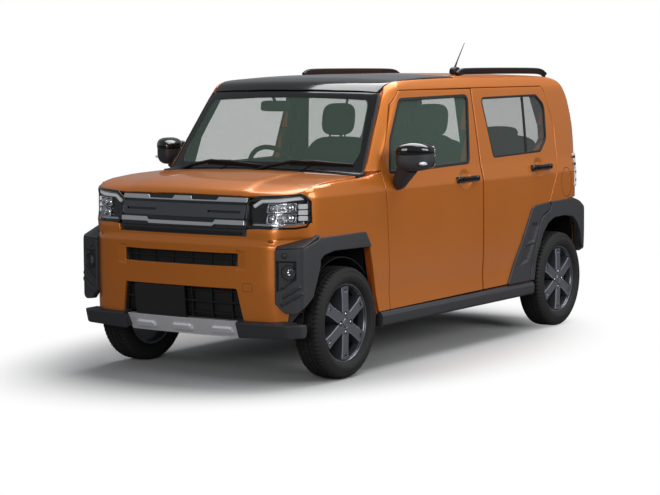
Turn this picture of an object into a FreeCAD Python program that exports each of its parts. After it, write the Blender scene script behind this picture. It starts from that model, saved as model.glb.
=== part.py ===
import FreeCAD, Part
import os
import re
import Sketcher

from FreeCAD import Placement, Rotation, Vector

# A kei car with a tall cabin and black arch cladding, in its own frame:
# +X is the car's left, -Y is its front, +Z is up, and the origin is on the ground
# under the middle of the bounding box.

os.makedirs("parts", exist_ok=True)
doc = FreeCAD.newDocument("kei_car")

# Driving sizes, in millimetres and degrees

SIZES = {
    "car_width": 1475,
    "car_height": 1630,
    "body_width": 1450,
    "wheel_base": 2460,
    "front_overhang": 515,
    "rear_overhang": 420,
    "front_track": 1300,
    "rear_track": 1295,
    "tyre_diameter": 595,
    "tyre_width": 165,
    "bead_diameter": 400,
    "rim_flange_diameter": 414,
    "rim_width": 122,
    "rim_wall": 13,
    "spoke_count": 6,
    "spoke_width": 62,
    "spoke_depth": 24,
    "hub_diameter": 140,
    "centre_bore": 54,
    "disc_diameter": 250,
    "disc_depth": 16,
    "end_crown": 60,
    "screen_crown": 60,
    "roof_crown": 34,
    "corner_crown": 26,
    "door_wall": 55,
    "seal_gap": 16,
    "flange_wall": 29,
    "roof_wall": 35,
    "bonnet_wall": 26,
    "bumper_wall": 45,
    "glass_wall": 5,
    "glass_depth": 14,
    "glass_gap": 0.3,
    "panel_gap": 8,
    "flange_width": 34,
    "cladding_cover": 8,
    "floor_wall": 12,
    "floor_height": 250,
    "rear_floor_rise": 80,
    "tunnel_rise": 90,
    "house_place": 455,
    "front_rail_place": 395,
    "front_rail_width": 50,
    "front_rail_height": 430,
    "front_rail_depth": 80,
    "tower_width": 170,
    "strut_place": 495,
    "strut_diameter": 50,
    "engine_width": 660,
    "engine_height": 560,
    "arm_root": 330,
    "jack_place": 520,
    "jack_width": 60,
    "arm_reach": 600,
    "knuckle_place": 575,
    "arm_gap": 15,
    "arm_width": 50,
    "beam_depth": 50,
    "beam_setback": 150,
    "arm_spread": 515,
    "tank_width": 640,
    "tank_length": 400,
    "tank_depth": 130,
    "pipe_spread": 370,
    "pipe_diameter": 44,
    "silencer_width": 480,
    "silencer_depth": 90,
    "hub_setback": 30,
    "bearing_gap": 0.05,
    "dashboard_width": 1180,
    "seat_spread": 330,
    "wheel_setback": 347,
    "wheel_height": 1021,
    "column_angle": 26,
    "column_length": 330,
    "column_diameter": 60,
    "hub_depth": 55,
    "mast_place": 450,
    "firewall_gap": 19,
    "dash_depth": 294,
    "liner_wall": 4,
    "liner_gap": 46,
    "liner_inner": 425,
    "rail_diameter": 26,
    "mast_length": 210,
    "mast_diameter": 8,
    "mast_angle": 38,
    "seat_width": 480,
    "wheel_rim_diameter": 370,
    "wheel_rim_depth": 28,
    "round_small": 12,
    "round_large": 40,
    "cut_margin": 60,
    "skin_gap": 0.3,
}

sheet = doc.addObject("Spreadsheet::Sheet", "sizes")
for row, (alias, value) in enumerate(SIZES.items(), start=1):
    sheet.set("A%d" % row, alias)
    sheet.set("B%d" % row, str(value))
    sheet.setAlias("B%d" % row, alias)
doc.recompute()


# sizes that follow from the ones above
FOLLOWING = {
    "firewall_place": "(car_length / 2 - front_overhang - tyre_diameter / 2 - firewall_gap)",
    "car_length": "(front_overhang + wheel_base + rear_overhang)",
}


def spelled(text):
    """An expression in the sheet's own sizes alone."""
    for word, meaning in FOLLOWING.items():
        text = re.sub(r"\b%s\b" % word, meaning, text)
    return text


def bound(text):
    """An expression with each size's alias led by the sheet's name."""
    return re.sub(r"\b([a-z]+(?:_[a-z]+)+)\b", r"sizes.\1", spelled(text))


def value(text):
    """The number that an expression on the sheet has now."""
    return float(sheet.evalExpression(spelled(text)))


def bind(thing, prop, text):
    """Set a property's value now and keep it bound to the sheet."""
    thing.setExpression(prop, bound(text))


# Sketches: every outline point is an expression on the sheet

PLANES = {
    "xy": Rotation(),
    "xz": Rotation(Vector(1, 0, 0), 90),
    "yz": Rotation(Vector(1, 1, 1), 120),
}
NORMALS = {"xy": Vector(0, 0, 1), "xz": Vector(0, 1, 0), "yz": Vector(1, 0, 0)}


def draw(sketch, points):
    """Close an outline of straight and bulged edges and bind every corner.

    A point is (across, up) or (across, up, rise), where rise is how far the edge
    to the next point bulges to its right.
    """
    corners = [Vector(value(p[0]), value(p[1]), 0) for p in points]
    ends = []
    rules = []
    bindings = []
    for place, (point, start) in enumerate(zip(points, corners)):
        stop = corners[(place + 1) % len(points)]
        rise = value(point[2]) if len(point) > 2 else 0
        if rise:
            run = stop - start
            side = Vector(run.y, -run.x, 0).normalize()
            middle = (start + stop) / 2 + side * rise
            edge = Part.Arc(start, middle, stop).toShape().Edges[0].Curve
            arc = Part.ArcOfCircle(start, middle, stop)
            number = sketch.addGeometry(arc, False)
            forward = sketch.getPoint(number, 1).distanceToPoint(start) < edge.Radius / 1e6
            ends.append((number, 1, 2) if forward else (number, 2, 1))
            there = points[(place + 1) % len(points)]
            chord = "((%s) - (%s))^2 + ((%s) - (%s))^2" % (there[0], point[0], there[1], point[1])
            radius = "abs((%s) / 8 / (%s) + (%s) / 2)" % (chord, point[2], point[2])
            rules.append(Sketcher.Constraint("Radius", number, edge.Radius))
            bindings.append(radius)
        else:
            number = sketch.addGeometry(Part.LineSegment(start, stop), False)
            ends.append((number, 1, 2))
        rules.append(Sketcher.Constraint("DistanceX", number, ends[-1][1], start.x))
        bindings.append(point[0])
        rules.append(Sketcher.Constraint("DistanceY", number, ends[-1][1], start.y))
        bindings.append(point[1])
    for place, (number, first, last) in enumerate(ends):
        after = ends[(place + 1) % len(ends)]
        rules.append(Sketcher.Constraint("Coincident", number, last, after[0], after[1]))
    sketch.addConstraint(rules)
    for place, text in enumerate(bindings):
        sketch.setExpression("Constraints[%d]" % place, bound(text))


def outline(name, plane, points):
    """A loose sketch on a principal plane."""
    sketch = doc.addObject("Sketcher::SketchObject", name + "_outline")
    sketch.Placement = Placement(Vector(), PLANES[plane])
    draw(sketch, points)
    return sketch


def widen(name, source, amount):
    """The outline moved outwards by an amount, with round corners."""
    ring = doc.addObject("Part::Offset2D", name)
    ring.Source = source
    ring.Mode = "Pipe"
    ring.Join = "Arc"
    bind(ring, "Value", amount)
    return ring


def extrude(name, source, plane, low, high):
    """A solid between two places along the axis that its outline faces."""
    block = doc.addObject("Part::Extrusion", name)
    block.Base = source
    block.DirMode = "Custom"
    block.Dir = NORMALS[plane]
    block.Solid = True
    bind(block, "LengthFwd", high)
    bind(block, "LengthRev", "-(%s)" % low)
    return block


def slab(name, plane, points, low, high):
    """An outline on a principal plane, extruded across it."""
    return extrude(name, outline(name, plane, points), plane, low, high)


def box(name, x, y, z):
    """A block between named corners."""
    block = doc.addObject("Part::Box", name)
    for prop, (low, high) in zip(("Length", "Width", "Height"), (x, y, z)):
        bind(block, prop, "(%s) - (%s)" % (high, low))
    for axis, (low, high) in zip("xyz", (x, y, z)):
        bind(block, ".Placement.Base." + axis, low)
    return block


def rod(name, start, along, length, diameter):
    """A cylinder from a point along an axis of the frame."""
    bar = doc.addObject("Part::Cylinder", name)
    turn = {"x": Rotation(Vector(0, 1, 0), 90), "y": Rotation(Vector(1, 0, 0), -90), "z": Rotation()}
    bar.Placement = Placement(Vector(), turn[along])
    bind(bar, "Radius", "(%s) / 2" % diameter)
    bind(bar, "Height", length)
    for axis, text in zip("xyz", start):
        bind(bar, ".Placement.Base." + axis, text)
    return bar


def cut(name, base, *tools):
    """Take each tool away in turn."""
    for place, tool in enumerate(tools):
        step = doc.addObject("Part::Cut", "%s_less_%d" % (name, place))
        step.Base = base
        step.Tool = tool
        base = step
    return base


def common(name, *shapes):
    """What all the shapes share."""
    result = doc.addObject("Part::MultiCommon", name)
    result.Shapes = list(shapes)
    return result


def fuse(name, *shapes):
    """The shapes joined as one solid."""
    result = doc.addObject("Part::MultiFuse", name)
    result.Shapes = list(shapes)
    result.Refine = True
    return result


def moved(name, source, x="0", y="0", z="0"):
    """A copy of a shape, shifted."""
    result = doc.addObject("Part::Compound", name)
    result.Links = [source]
    for axis, text in zip("xyz", (x, y, z)):
        bind(result, ".Placement.Base." + axis, text)
    return result


def group(name, *shapes):
    """Separate solids that share a node."""
    result = doc.addObject("Part::Compound", name)
    result.Links = list(shapes)
    return result


def mirror(name, source):
    """The other side of the car."""
    result = doc.addObject("Part::Mirroring", name)
    result.Source = source
    result.Normal = (1, 0, 0)
    return result


pieces = []


def piece(name, thing):
    """Name a finished sub-part."""
    thing.Label = name
    pieces.append(thing)
    return thing


def side_points(shares):
    """Side-view points as shares of half the length and of the height."""
    return [tuple(["car_length / 2 * %g" % s[0], "car_height * %g" % s[1]]
                  + ["car_length * %g" % s[2] for _ in s[2:3]]) for s in shares]


def both_sides(points):
    """A right-hand half outline closed by its mirror image."""
    other = [("-(%s)" % p[0],) + tuple(p[1:]) for p in reversed(points) if p[0] != "0"]
    return list(points) + other


front_axle = "-car_length / 2 + front_overhang"
rear_axle = "-car_length / 2 + front_overhang + wheel_base"

# Outer form: side sections lofted across the car, then trimmed by the plan and the section

# y and z as shares of half the length and of the height, then how much of the end crown,
# the screen crown and the roof crown the section loses at the car's side
profile_shares = (
    (-0.960, 0.150, 1, 0, 0),
    (-0.992, 0.205, 1, 0, 0),
    (-1.000, 0.310, 1, 0, 0),
    (-1.000, 0.450, 1, 0, 0),
    (-0.990, 0.492, 1, 0, 0),
    (-0.972, 0.600, 1, 0, 0),
    (-0.956, 0.622, 1, 0, 0.6),
    (-0.884, 0.645, 0, 0.5, 0.6),
    (-0.730, 0.657, 0, 0.5, 0.6),
    (-0.566, 0.661, 0, 1, 0.3),
    (-0.395, 0.921, 0, 0.8, 0.5),
    (-0.353, 0.957, 0, 0.8, 0.7),
    (-0.280, 0.971, 0, 0, 1),
    (-0.080, 0.980, 0, 0, 1),
    (0.200, 0.982, 0, 0, 1),
    (0.550, 0.980, 0, 0, 1),
    (0.797, 0.976, 0, 0, 1),
    (0.885, 0.964, 0.5, 0, 1),
    (0.937, 0.878, 1, 0, 0.3),
    (0.963, 0.772, 1, 0, 0),
    (0.970, 0.666, 1, 0, 0),
    (0.968, 0.540, 1, 0, 0),
    (0.986, 0.490, 1, 0, 0),
    (1.000, 0.455, 1, 0, 0),
    (1.000, 0.340, 1, 0, 0),
    (0.990, 0.240, 1, 0, 0),
    (0.950, 0.152, 1, 0, 0),
)


def crowned_section(name, station_share):
    """One side section, drawn in by the crowns at its share of the half width."""
    droop = station_share * station_share
    points = []
    for y_share, z_share, end, screen, roof in profile_shares:
        inward = 1 if y_share < 0 else -1
        across = "car_length / 2 * %g" % y_share
        across += " + %d * %g * (end_crown * %g + screen_crown * %g)" % (inward, droop, end, screen)
        up = "car_height * %g - roof_crown * %g" % (z_share, droop * roof)
        points.append((across, up))
    sketch = outline(name, "yz", points)
    bind(sketch, ".Placement.Base.x", "car_width / 2 * %g" % station_share)
    return sketch


loft = doc.addObject("Part::Loft", "crowned_body")
loft.Sections = [
    crowned_section("section_right", -1.02),
    crowned_section("section_middle", 0),
    crowned_section("section_left", 1.02),
]
loft.Solid = True
loft.Ruled = False

# plan: straight ends, bulged corners, straight sides
plan = slab("plan", "xy", [
    ("car_width / 2 * 0.74", "-car_length / 2 - cut_margin"),
    ("car_width / 2 * 0.78", "-car_length / 2 * 0.978", "corner_crown"),
    ("car_width / 2", "-car_length / 2 * 0.868"),
    ("car_width / 2", "car_length / 2 * 0.880", "corner_crown"),
    ("car_width / 2 * 0.80", "car_length / 2 * 0.985"),
    ("car_width / 2 * 0.76", "car_length / 2 + cut_margin"),
    ("-car_width / 2 * 0.76", "car_length / 2 + cut_margin"),
    ("-car_width / 2 * 0.80", "car_length / 2 * 0.985", "corner_crown"),
    ("-car_width / 2", "car_length / 2 * 0.880"),
    ("-car_width / 2", "-car_length / 2 * 0.868", "corner_crown"),
    ("-car_width / 2 * 0.78", "-car_length / 2 * 0.978"),
    ("-car_width / 2 * 0.74", "-car_length / 2 - cut_margin"),
], "0", "car_height + cut_margin")

# the cladding's corners stand squarer than the painted body behind them
square_plan = slab("square_plan", "xy", both_sides([
    ("car_width / 2 * 0.740", "-car_length / 2 - cut_margin"),
    ("car_width / 2 * 0.780", "-car_length / 2 * 0.978"),
    ("car_width / 2 * 0.980", "-car_length / 2 * 0.953", "corner_crown / 8"),
    ("car_width / 2", "-car_length / 2 * 0.942"),
    ("car_width / 2", "0"),
]), "0", "car_height")

# cross section at the middle pillar: x as a share of half the body width, z of the height
section_shares = (
    (0.960, 0.146),
    (0.994, 0.190),
    (1.000, 0.270),
    (1.000, 0.500),
    (0.995, 0.601),
    (0.964, 0.655),
    (0.924, 0.780),
    (0.874, 0.927),
)
section_corner_shares = (0.800, 0.976)
section_top_shares = (0.700, 1.020)


def section(name, inset, lid="0", front="car_length / 2 + cut_margin", back="car_length / 2 + cut_margin"):
    """The body's cross section run along the car, its sides moved in and its top lowered."""
    half = [("body_width / 2 * %g - (%s)" % (x, inset), "car_height * %g" % z)
            for x, z in section_shares]
    half[0] = (half[0][0], half[0][1] + (" - cut_margin" if inset != "0" else ""))
    half[-1] = half[-1] + ("corner_crown / 2",)
    corner_x, corner_z = section_corner_shares
    half.append(("body_width / 2 * %g - (%s) / 2" % (corner_x, inset),
                 "car_height * %g - (%s)" % (corner_z, lid)))
    top_x, top_z = section_top_shares
    half.append(("body_width / 2 * %g - (%s) / 2" % (top_x, inset),
                 "car_height * %g - (%s)" % (top_z, lid)))
    other = []
    for place in range(len(half) - 1, -1, -1):
        rise = half[place - 1][2:] if place else ()
        other.append(("-(%s)" % half[place][0], half[place][1]) + rise)
    return slab(name, "xz", half + other, "-(%s)" % front, back)


hull = common("hull", loft, plan, section("body_section", "0"))
wide_section = slab("wide_section", "xz", both_sides([
    ("car_width / 2 * 0.970", "car_height * 0.140"),
    ("car_width / 2", "car_height * 0.190"),
    ("car_width / 2", "car_height * 0.480"),
    ("car_width / 2 * 0.985", "car_height * 0.510"),
    ("car_width / 2 * 0.900", "car_height * 0.560"),
]), "-(car_length / 2 + cut_margin)", "car_length / 2 + cut_margin")
wide_hull = common("wide_hull", loft, plan, wide_section)
square_hull = common("square_hull", loft, square_plan, wide_section)

# Cabin and engine bay: the spaces inside

# the cabin's side outline as shares, before walls: dash foot, screen, roof, tailgate
cabin_shares = (
    (-0.510, 0.090),
    (-0.510, 0.640),
    (-0.375, 0.895),
    (-0.290, 0.952),
    (0.780, 0.952),
    (0.865, 0.900),
    (0.910, 0.800),
    (0.930, 0.666),
    (0.930, 0.090),
)


def cabin(name, inset, lid="roof_wall"):
    """The space inside walls of a given thickness."""
    side = slab(name + "_side", "yz", side_points(cabin_shares), "-car_width / 2", "car_width / 2")
    return common(name, side, section(name + "_section", inset, lid))


def long_space(name, inset, lid="0"):
    """The space inside the side walls alone, along the whole car."""
    return section(name, inset, lid)


door_space = long_space("door_space", "door_wall")
seal_space = long_space("seal_space", "door_wall + seal_gap", "seal_gap")
frame_space = cabin("frame_space", "door_wall + seal_gap + flange_wall")
glass_outer = long_space("glass_outer", "glass_depth", "glass_depth")
glass_inner = long_space("glass_inner", "glass_depth + glass_wall", "glass_depth + glass_wall")
bay = common("engine_bay", slab("bay_side", "yz", side_points((
    (-0.925, 0.140),
    (-0.945, 0.300),
    (-0.925, 0.580),
    (-0.880, 0.618),
    (-0.600, 0.636),
    (-0.530, 0.636),
    (-0.530, 0.140),
)), "-car_width / 2", "car_width / 2"), long_space("bay_section", "bumper_wall"))

# Door, window and arch outlines in side view

front_door_shares = (
    (-0.440, 0.196),
    (0.168, 0.200),
    (0.168, 0.926),
    (-0.300, 0.926),
    (-0.358, 0.879),
    (-0.474, 0.660),
    (-0.461, 0.563),
    (-0.452, 0.429),
)
rear_door_shares = (
    (0.173, 0.200),
    (0.500, 0.202),
    (0.521, 0.252),
    (0.567, 0.383),
    (0.611, 0.442),
    (0.656, 0.456),
    (0.665, 0.487),
    (0.715, 0.574),
    (0.746, 0.658),
    (0.755, 0.778),
    (0.713, 0.912),
    (0.695, 0.928),
    (0.173, 0.928),
)
front_window_shares = (
    (-0.420, 0.657),
    (0.091, 0.667),
    (0.138, 0.898),
    (-0.305, 0.892),
    (-0.393, 0.760),
)
rear_window_shares = (
    (0.272, 0.677),
    (0.624, 0.684),
    (0.679, 0.729),
    (0.696, 0.856),
    (0.643, 0.893),
    (0.234, 0.888),
)
front_arch_shares = (
    (-0.555, 0.247),
    (0.552, 0.247),
    (0.552, 0.389),
    (0.381, 1.151),
    (-0.218, 1.159),
    (-0.375, 1.134),
    (-0.480, 1.057),
    (-0.555, 0.775),
)
rear_arch_shares = (
    (-0.635, 0.247),
    (0.849, 0.247),
    (0.849, 0.822),
    (0.506, 0.751),
    (0.483, 0.819),
    (0.432, 0.975),
    (0.358, 1.079),
    (0.261, 1.148),
    (0.067, 1.173),
    (-0.170, 1.167),
    (-0.310, 1.118),
    (-0.424, 1.019),
    (-0.527, 0.836),
    (-0.615, 0.567),
)


def about_axle(axle, shares):
    """Side-view points about an axle: shares of the tyre's diameter, back and up."""
    return [("%s + tyre_diameter * %g" % (axle, y), "tyre_diameter * %g" % z) for y, z in shares]


front_door_outline = outline("front_door", "yz", side_points(front_door_shares))
rear_door_outline = outline("rear_door", "yz", side_points(rear_door_shares))
reach = "car_width / 2 + cut_margin"
front_door_block = extrude("front_door_block", front_door_outline, "yz", "0", reach)
rear_door_block = extrude("rear_door_block", rear_door_outline, "yz", "0", reach)
front_door_gap = extrude("front_door_gap", widen("front_door_edge", front_door_outline, "panel_gap"),
                         "yz", "0", reach)
rear_door_gap = extrude("rear_door_gap", widen("rear_door_edge", rear_door_outline, "panel_gap"),
                        "yz", "0", reach)
front_doorway = extrude("front_doorway", widen("front_doorway_edge", front_door_outline,
                                               "-flange_width"), "yz", "0", reach)
rear_doorway = extrude("rear_doorway", widen("rear_doorway_edge", rear_door_outline,
                                             "-flange_width"), "yz", "0", reach)
front_arch = slab("front_arch", "yz", about_axle(front_axle, front_arch_shares), "liner_inner", reach)
rear_arch = slab("rear_arch", "yz", about_axle(rear_axle, rear_arch_shares), "liner_inner", reach)

# Cladding over the arches and sills

front_flare_shares = (
    (-0.478, 1.041),
    (-0.426, 1.282),
    (0.290, 1.288),
    (0.372, 1.129),
    (-0.010, 0.822),
)
rear_flare_shares = (
    (-1.174, 0.559),
    (-0.641, 1.312),
    (0.227, 1.353),
    (0.335, 1.315),
    (0.364, 0.822),
    (-0.150, 0.685),
    (-0.621, 0.559),
)
sill_shares = (
    (-0.511, 0.146),
    (0.535, 0.150),
    (0.540, 0.192),
    (-0.511, 0.190),
)
front_flare_block = slab("front_flare_block", "yz", about_axle(front_axle, front_flare_shares), "0", reach)
rear_flare_block = slab("rear_flare_block", "yz", about_axle(rear_axle, rear_flare_shares), "0", reach)
sill_block = slab("sill_block", "yz", side_points(sill_shares), "0", reach)
under_cladding = long_space("under_cladding", "cladding_cover")
cladding_skin = cut("cladding_skin", wide_hull, under_cladding)

front_flare = cut("front_flare", common("front_flare_band", cladding_skin, front_flare_block),
                  front_arch, front_door_gap)
rear_flare_band = common("rear_flare_band", cladding_skin, rear_flare_block)
rear_flare = cut("rear_flare", rear_flare_band, rear_arch, rear_door_gap)
door_flare = cut("door_flare", common("door_flare_band", rear_flare_band, rear_door_block), rear_arch)
sill = cut("sill", common("sill_band", cladding_skin, sill_block), front_flare_block, rear_flare_block)

# Doors

door_wall_shell = cut("door_wall_shell", hull, door_space)
front_window_outline = outline("front_window", "yz", side_points(front_window_shares))
rear_window_outline = outline("rear_window", "yz", side_points(rear_window_shares))
glass_sheet = cut("glass_sheet", glass_outer, glass_inner)

for place, block, window, covers in (
        ("front", front_door_block, front_window_outline, ()),
        ("rear", rear_door_block, rear_window_outline, (rear_flare_band,))):
    hole = extrude(place + "_window_hole", window, "yz", "0", reach)
    pane_edge = widen(place + "_pane_edge", window, "-glass_gap")
    pane_block = extrude(place + "_pane_block", pane_edge, "yz", "0", reach)
    panel = cut(place + "_door_panel", common(place + "_door_slab", door_wall_shell, block),
                hole, *covers)
    pane = common(place + "_pane", glass_sheet, pane_block)
    piece("door_%s_left_panel" % place, panel)
    piece("door_%s_left_glass" % place, pane)
    piece("door_%s_right_panel" % place, mirror(place + "_door_right", panel))
    piece("door_%s_right_glass" % place, mirror(place + "_pane_right", pane))

# Door mirrors: a housing with a bowed front, on a foot at the window's corner

mirror_housing = slab("mirror_housing", "xy", [
    ("body_width / 2 * 1.030", "-car_length / 2 * 0.355"),
    ("body_width / 2 * 1.030", "-car_length / 2 * 0.425", "car_width * 0.012"),
    ("body_width / 2 * 1.290", "-car_length / 2 * 0.385"),
    ("body_width / 2 * 1.300", "-car_length / 2 * 0.355"),
], "car_height * 0.664", "car_height * 0.755")
mirror_foot = slab("mirror_foot", "yz", [
    ("-car_length / 2 * 0.428", "car_height * 0.605"),
    ("-car_length / 2 * 0.372", "car_height * 0.605"),
    ("-car_length / 2 * 0.355", "car_height * 0.664"),
    ("-car_length / 2 * 0.425", "car_height * 0.664"),
], "body_width / 2 * 0.930", "body_width / 2 * 1.060")
mirror_unit = cut("mirror_unit", fuse("mirror_whole", mirror_housing, mirror_foot), hull)

# Door handles: a bar on two feet over a recess

handles = {}
for place, low_share, high_share, height_share in (
        ("front", -0.020, 0.125, 0.607), ("rear", 0.515, 0.655, 0.616)):
    low = "car_length / 2 * %g" % low_share
    high = "car_length / 2 * %g" % high_share
    lift = "car_height * %g" % height_share
    bar = box(place + "_handle_bar",
              ("body_width / 2 + 2 * round_small", "body_width / 2 + 3 * round_small"),
              (low, high), (lift + " - round_small", lift + " + round_small"))
    feet = [box("%s_handle_foot_%d" % (place, number),
                ("body_width / 2 * 0.960", "body_width / 2 + 2 * round_small"),
                (end, end + " + 2 * round_small"), (lift + " - round_small", lift + " + round_small"))
            for number, end in enumerate((low, high + " - 2 * round_small"))]
    handles[place] = cut(place + "_handle", fuse(place + "_handle_whole", bar, *feet), hull)

front_trim = group("front_trim", mirror_unit, handles["front"])
rear_trim = group("rear_trim", door_flare, handles["rear"])
for place, trim in (("front", front_trim), ("rear", rear_trim)):
    piece("door_%s_left_trim" % place, trim)
    piece("door_%s_right_trim" % place, mirror(place + "_trim_right", trim))

# Roof, glass roof, windscreen and bonnet: skins as thick as the wall they stand for

roof_half = "body_width / 2 * 0.784"
roof_split = "car_length / 2 * 0.104"
roof_strip = box("roof_strip", ("-" + roof_half, roof_half),
                 (roof_split, "car_length / 2 * 0.830"),
                 ("car_height * 0.90", "car_height + cut_margin"))
roof_glass_strip = box("roof_glass_strip", ("-" + roof_half, roof_half),
                       ("-car_length / 2 * 0.388", roof_split + " - skin_gap"),
                       ("car_height * 0.922", "car_height + cut_margin"))
under_roof = moved("under_roof", hull, z="-roof_wall")
screen_outline = outline("screen", "xz", both_sides([
    ("body_width / 2 * 0.905", "car_height * 0.640"),
    ("body_width / 2 * 0.800", "car_height * 0.922"),
]))
screen_block = extrude("screen_block", screen_outline, "xz",
                       "-car_length / 2 * 0.583 + panel_gap", "-car_length / 2 * 0.250")
under_screen = moved("under_screen", hull, y="glass_wall", z="-glass_wall * 0.7")
bonnet_plan = [
    ("body_width / 2 * 0.905", "-car_length / 2 * 0.583"),
    ("body_width / 2 * 0.930", "-car_length / 2 * 0.890"),
    ("body_width / 2 * 0.880", "-car_length / 2 * 0.960"),
    ("body_width / 2 * 0.500", "-car_length / 2"),
]
bonnet_outline = outline("bonnet", "xy", list(reversed(both_sides(bonnet_plan))))
bonnet_low = "car_height * 0.612"
bonnet_block = extrude("bonnet_block", bonnet_outline, "xy", bonnet_low, "car_height")
bonnet_gap = extrude("bonnet_gap", widen("bonnet_edge", bonnet_outline, "panel_gap"), "xy",
                     bonnet_low + " - panel_gap", "car_height")
under_bonnet = moved("under_bonnet", hull, y="bonnet_wall", z="-bonnet_wall")
cowl_block = box("cowl_block", ("-body_width / 2 * 0.905", "body_width / 2 * 0.905"),
                 ("-car_length / 2 * 0.583 + panel_gap", "-car_length / 2 * 0.512"),
                 ("car_height * 0.600", "car_height * 0.656"))

piece("roof_panel", cut("roof_sheet", common("roof_slab", hull, roof_strip), under_roof))
piece("roof_glass", cut("roof_pane", common("roof_glass_slab", hull, roof_glass_strip), under_roof))
piece("windscreen", cut("windscreen_sheet", common("windscreen_slab", hull, screen_block),
                        under_screen, roof_glass_strip, cowl_block))
piece("bonnet_panel", cut("bonnet_sheet", common("bonnet_slab", hull, bonnet_block), under_bonnet))
piece("cowl", cut("cowl_sheet", common("cowl_slab", hull, cowl_block), under_bonnet))

# Tailgate

tailgate_outline = outline("tailgate", "xz", both_sides([
    ("body_width / 2 * 0.770", "car_height * 0.420"),
    ("body_width / 2 * 0.790", "car_height * 0.680"),
    ("body_width / 2 * 0.750", "car_height * 0.900"),
    ("body_width / 2 * 0.740", "car_height + cut_margin"),
]))
tailgate_front = "car_length / 2 * 0.830"
tailgate_block = extrude("tailgate_block", tailgate_outline, "xz",
                         tailgate_front + " + panel_gap", "car_length")
tailgate_gap = extrude("tailgate_gap", widen("tailgate_edge", tailgate_outline, "panel_gap"), "xz",
                       tailgate_front, "car_length")
tail_window_outline = outline("tail_window", "xz", both_sides([
    ("body_width / 2 * 0.700", "car_height * 0.690"),
    ("body_width / 2 * 0.640", "car_height * 0.900"),
]))
tail_space = common("tail_space", slab("tail_side", "yz", side_points((
    (0.700, 0.090),
    (0.930, 0.090),
    (0.930, 0.666),
    (0.920, 0.772),
    (0.895, 0.860),
    (0.850, 0.938),
    (0.700, 0.950),
)), "-car_width / 2", "car_width / 2"), long_space("tail_section", "door_wall"))
tail_window_hole = extrude("tail_window_hole", tail_window_outline, "xz", "0", "car_length")
tail_pane_block = extrude("tail_pane_block", widen("tail_pane_edge", tail_window_outline, "-glass_gap"),
                          "xz", "car_length / 4", "car_length")
tail_glass_outer = moved("tail_glass_outer", hull, y="-glass_wall")
tail_glass_inner = moved("tail_glass_inner", hull, y="-glass_wall * 2")
piece("tailgate_panel", cut("tailgate_sheet", common("tailgate_slab", hull, tailgate_block),
                            tail_space, tail_window_hole))
piece("tailgate_glass", cut("tail_pane", common("tail_pane_slab", tail_glass_outer, tail_pane_block),
                            tail_glass_inner))

# Bumpers, lamps and grille

rear_arch_right = mirror("rear_arch_right", rear_arch)
front_arch_right = mirror("front_arch_right", front_arch)
rear_bumper_block = slab("rear_bumper_block", "yz", side_points((
    (0.870, 0.480),
    (0.880, 0.300),
    (0.900, 0.185),
    (1.050, 0.185),
    (1.050, 0.504),
    (0.900, 0.492),
)), "-car_width / 2", "car_width / 2")
rear_bumper_space = common("rear_bumper_space", slab("rear_bumper_room", "yz", side_points((
    (0.850, 0.130),
    (1.050, 0.130),
    (1.050, 0.520),
    (0.850, 0.520),
)), "-body_width / 2 * 0.940", "body_width / 2 * 0.940"),
    moved("rear_bumper_inner", hull, y="-bumper_wall", z="-bumper_wall / 2"))
piece("rear_bumper", cut("rear_bumper_shell", common("rear_bumper_slab", hull, rear_bumper_block),
                         rear_bumper_space, tailgate_gap, rear_arch_right, rear_arch,
                         rear_flare_block, mirror("rear_flare_block_right", rear_flare_block)))
tail_lamp_block = slab("tail_lamp_block", "xz", [
    ("body_width / 2 * 0.790 + panel_gap", "car_height * 0.532"),
    ("body_width / 2 * 1.050", "car_height * 0.532"),
    ("body_width / 2 * 1.050", "car_height * 0.666"),
    ("body_width / 2 * 0.790 + panel_gap", "car_height * 0.666"),
], "car_length / 2 * 0.900", "car_length")
tail_lamp = cut("tail_lamp", common("tail_lamp_slab", hull, tail_lamp_block), tail_space)
piece("tail_lamps", group("tail_lamp_pair", tail_lamp, mirror("tail_lamp_right", tail_lamp)))

front_bumper_block = slab("front_bumper_block", "yz", side_points((
    (-1.100, 0.146),
    (-0.820, 0.146),
    (-0.864, 0.380),
    (-0.864, 0.467),
    (-0.880, 0.500),
    (-1.100, 0.500),
)), "-car_width / 2", "car_width / 2")
nose_front = "-car_length"
nose_back = "-car_length / 2 * 0.800"
intake_high = slab("intake_high", "xz", both_sides([
    ("car_width / 2 * 0.480", "car_height * 0.382"),
    ("car_width / 2 * 0.505", "car_height * 0.421"),
]), nose_front, nose_back)
intake_low = slab("intake_low", "xz", both_sides([
    ("car_width / 2 * 0.540", "car_height * 0.206"),
    ("car_width / 2 * 0.496", "car_height * 0.312"),
]), nose_front, nose_back)
pod_block = slab("pod_block", "xz", [
    ("car_width / 2 * 0.789", "car_height * 0.466"),
    ("car_width / 2 * 0.818", "car_height * 0.270"),
    ("car_width / 2 * 0.918", "car_height * 0.239"),
    ("car_width / 2 * 1.050", "car_height * 0.239"),
    ("car_width / 2 * 1.050", "car_height * 0.466"),
], nose_front, nose_back)
guard_block = slab("guard_block", "xz", [
    ("car_width / 2 * 0.500", "car_height * 0.140"),
    ("car_width / 2 * 1.050", "car_height * 0.140"),
    ("car_width / 2 * 1.050", "car_height * 0.206"),
    ("car_width / 2 * 0.540", "car_height * 0.206"),
], nose_front, nose_back)
corner_room = slab("corner_room", "xz", [
    ("car_width / 2 * 0.870", "car_height * 0.206"),
    ("car_width / 2 * 1.050", "car_height * 0.206"),
    ("car_width / 2 * 1.050", "car_height * 0.239"),
    ("car_width / 2 * 0.918", "car_height * 0.239"),
], nose_front, nose_back)
skid_block = slab("skid_block", "xz", both_sides([
    ("car_width / 2 * 0.500", "car_height * 0.140"),
    ("car_width / 2 * 0.540", "car_height * 0.206"),
]), nose_front, nose_back)
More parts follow.
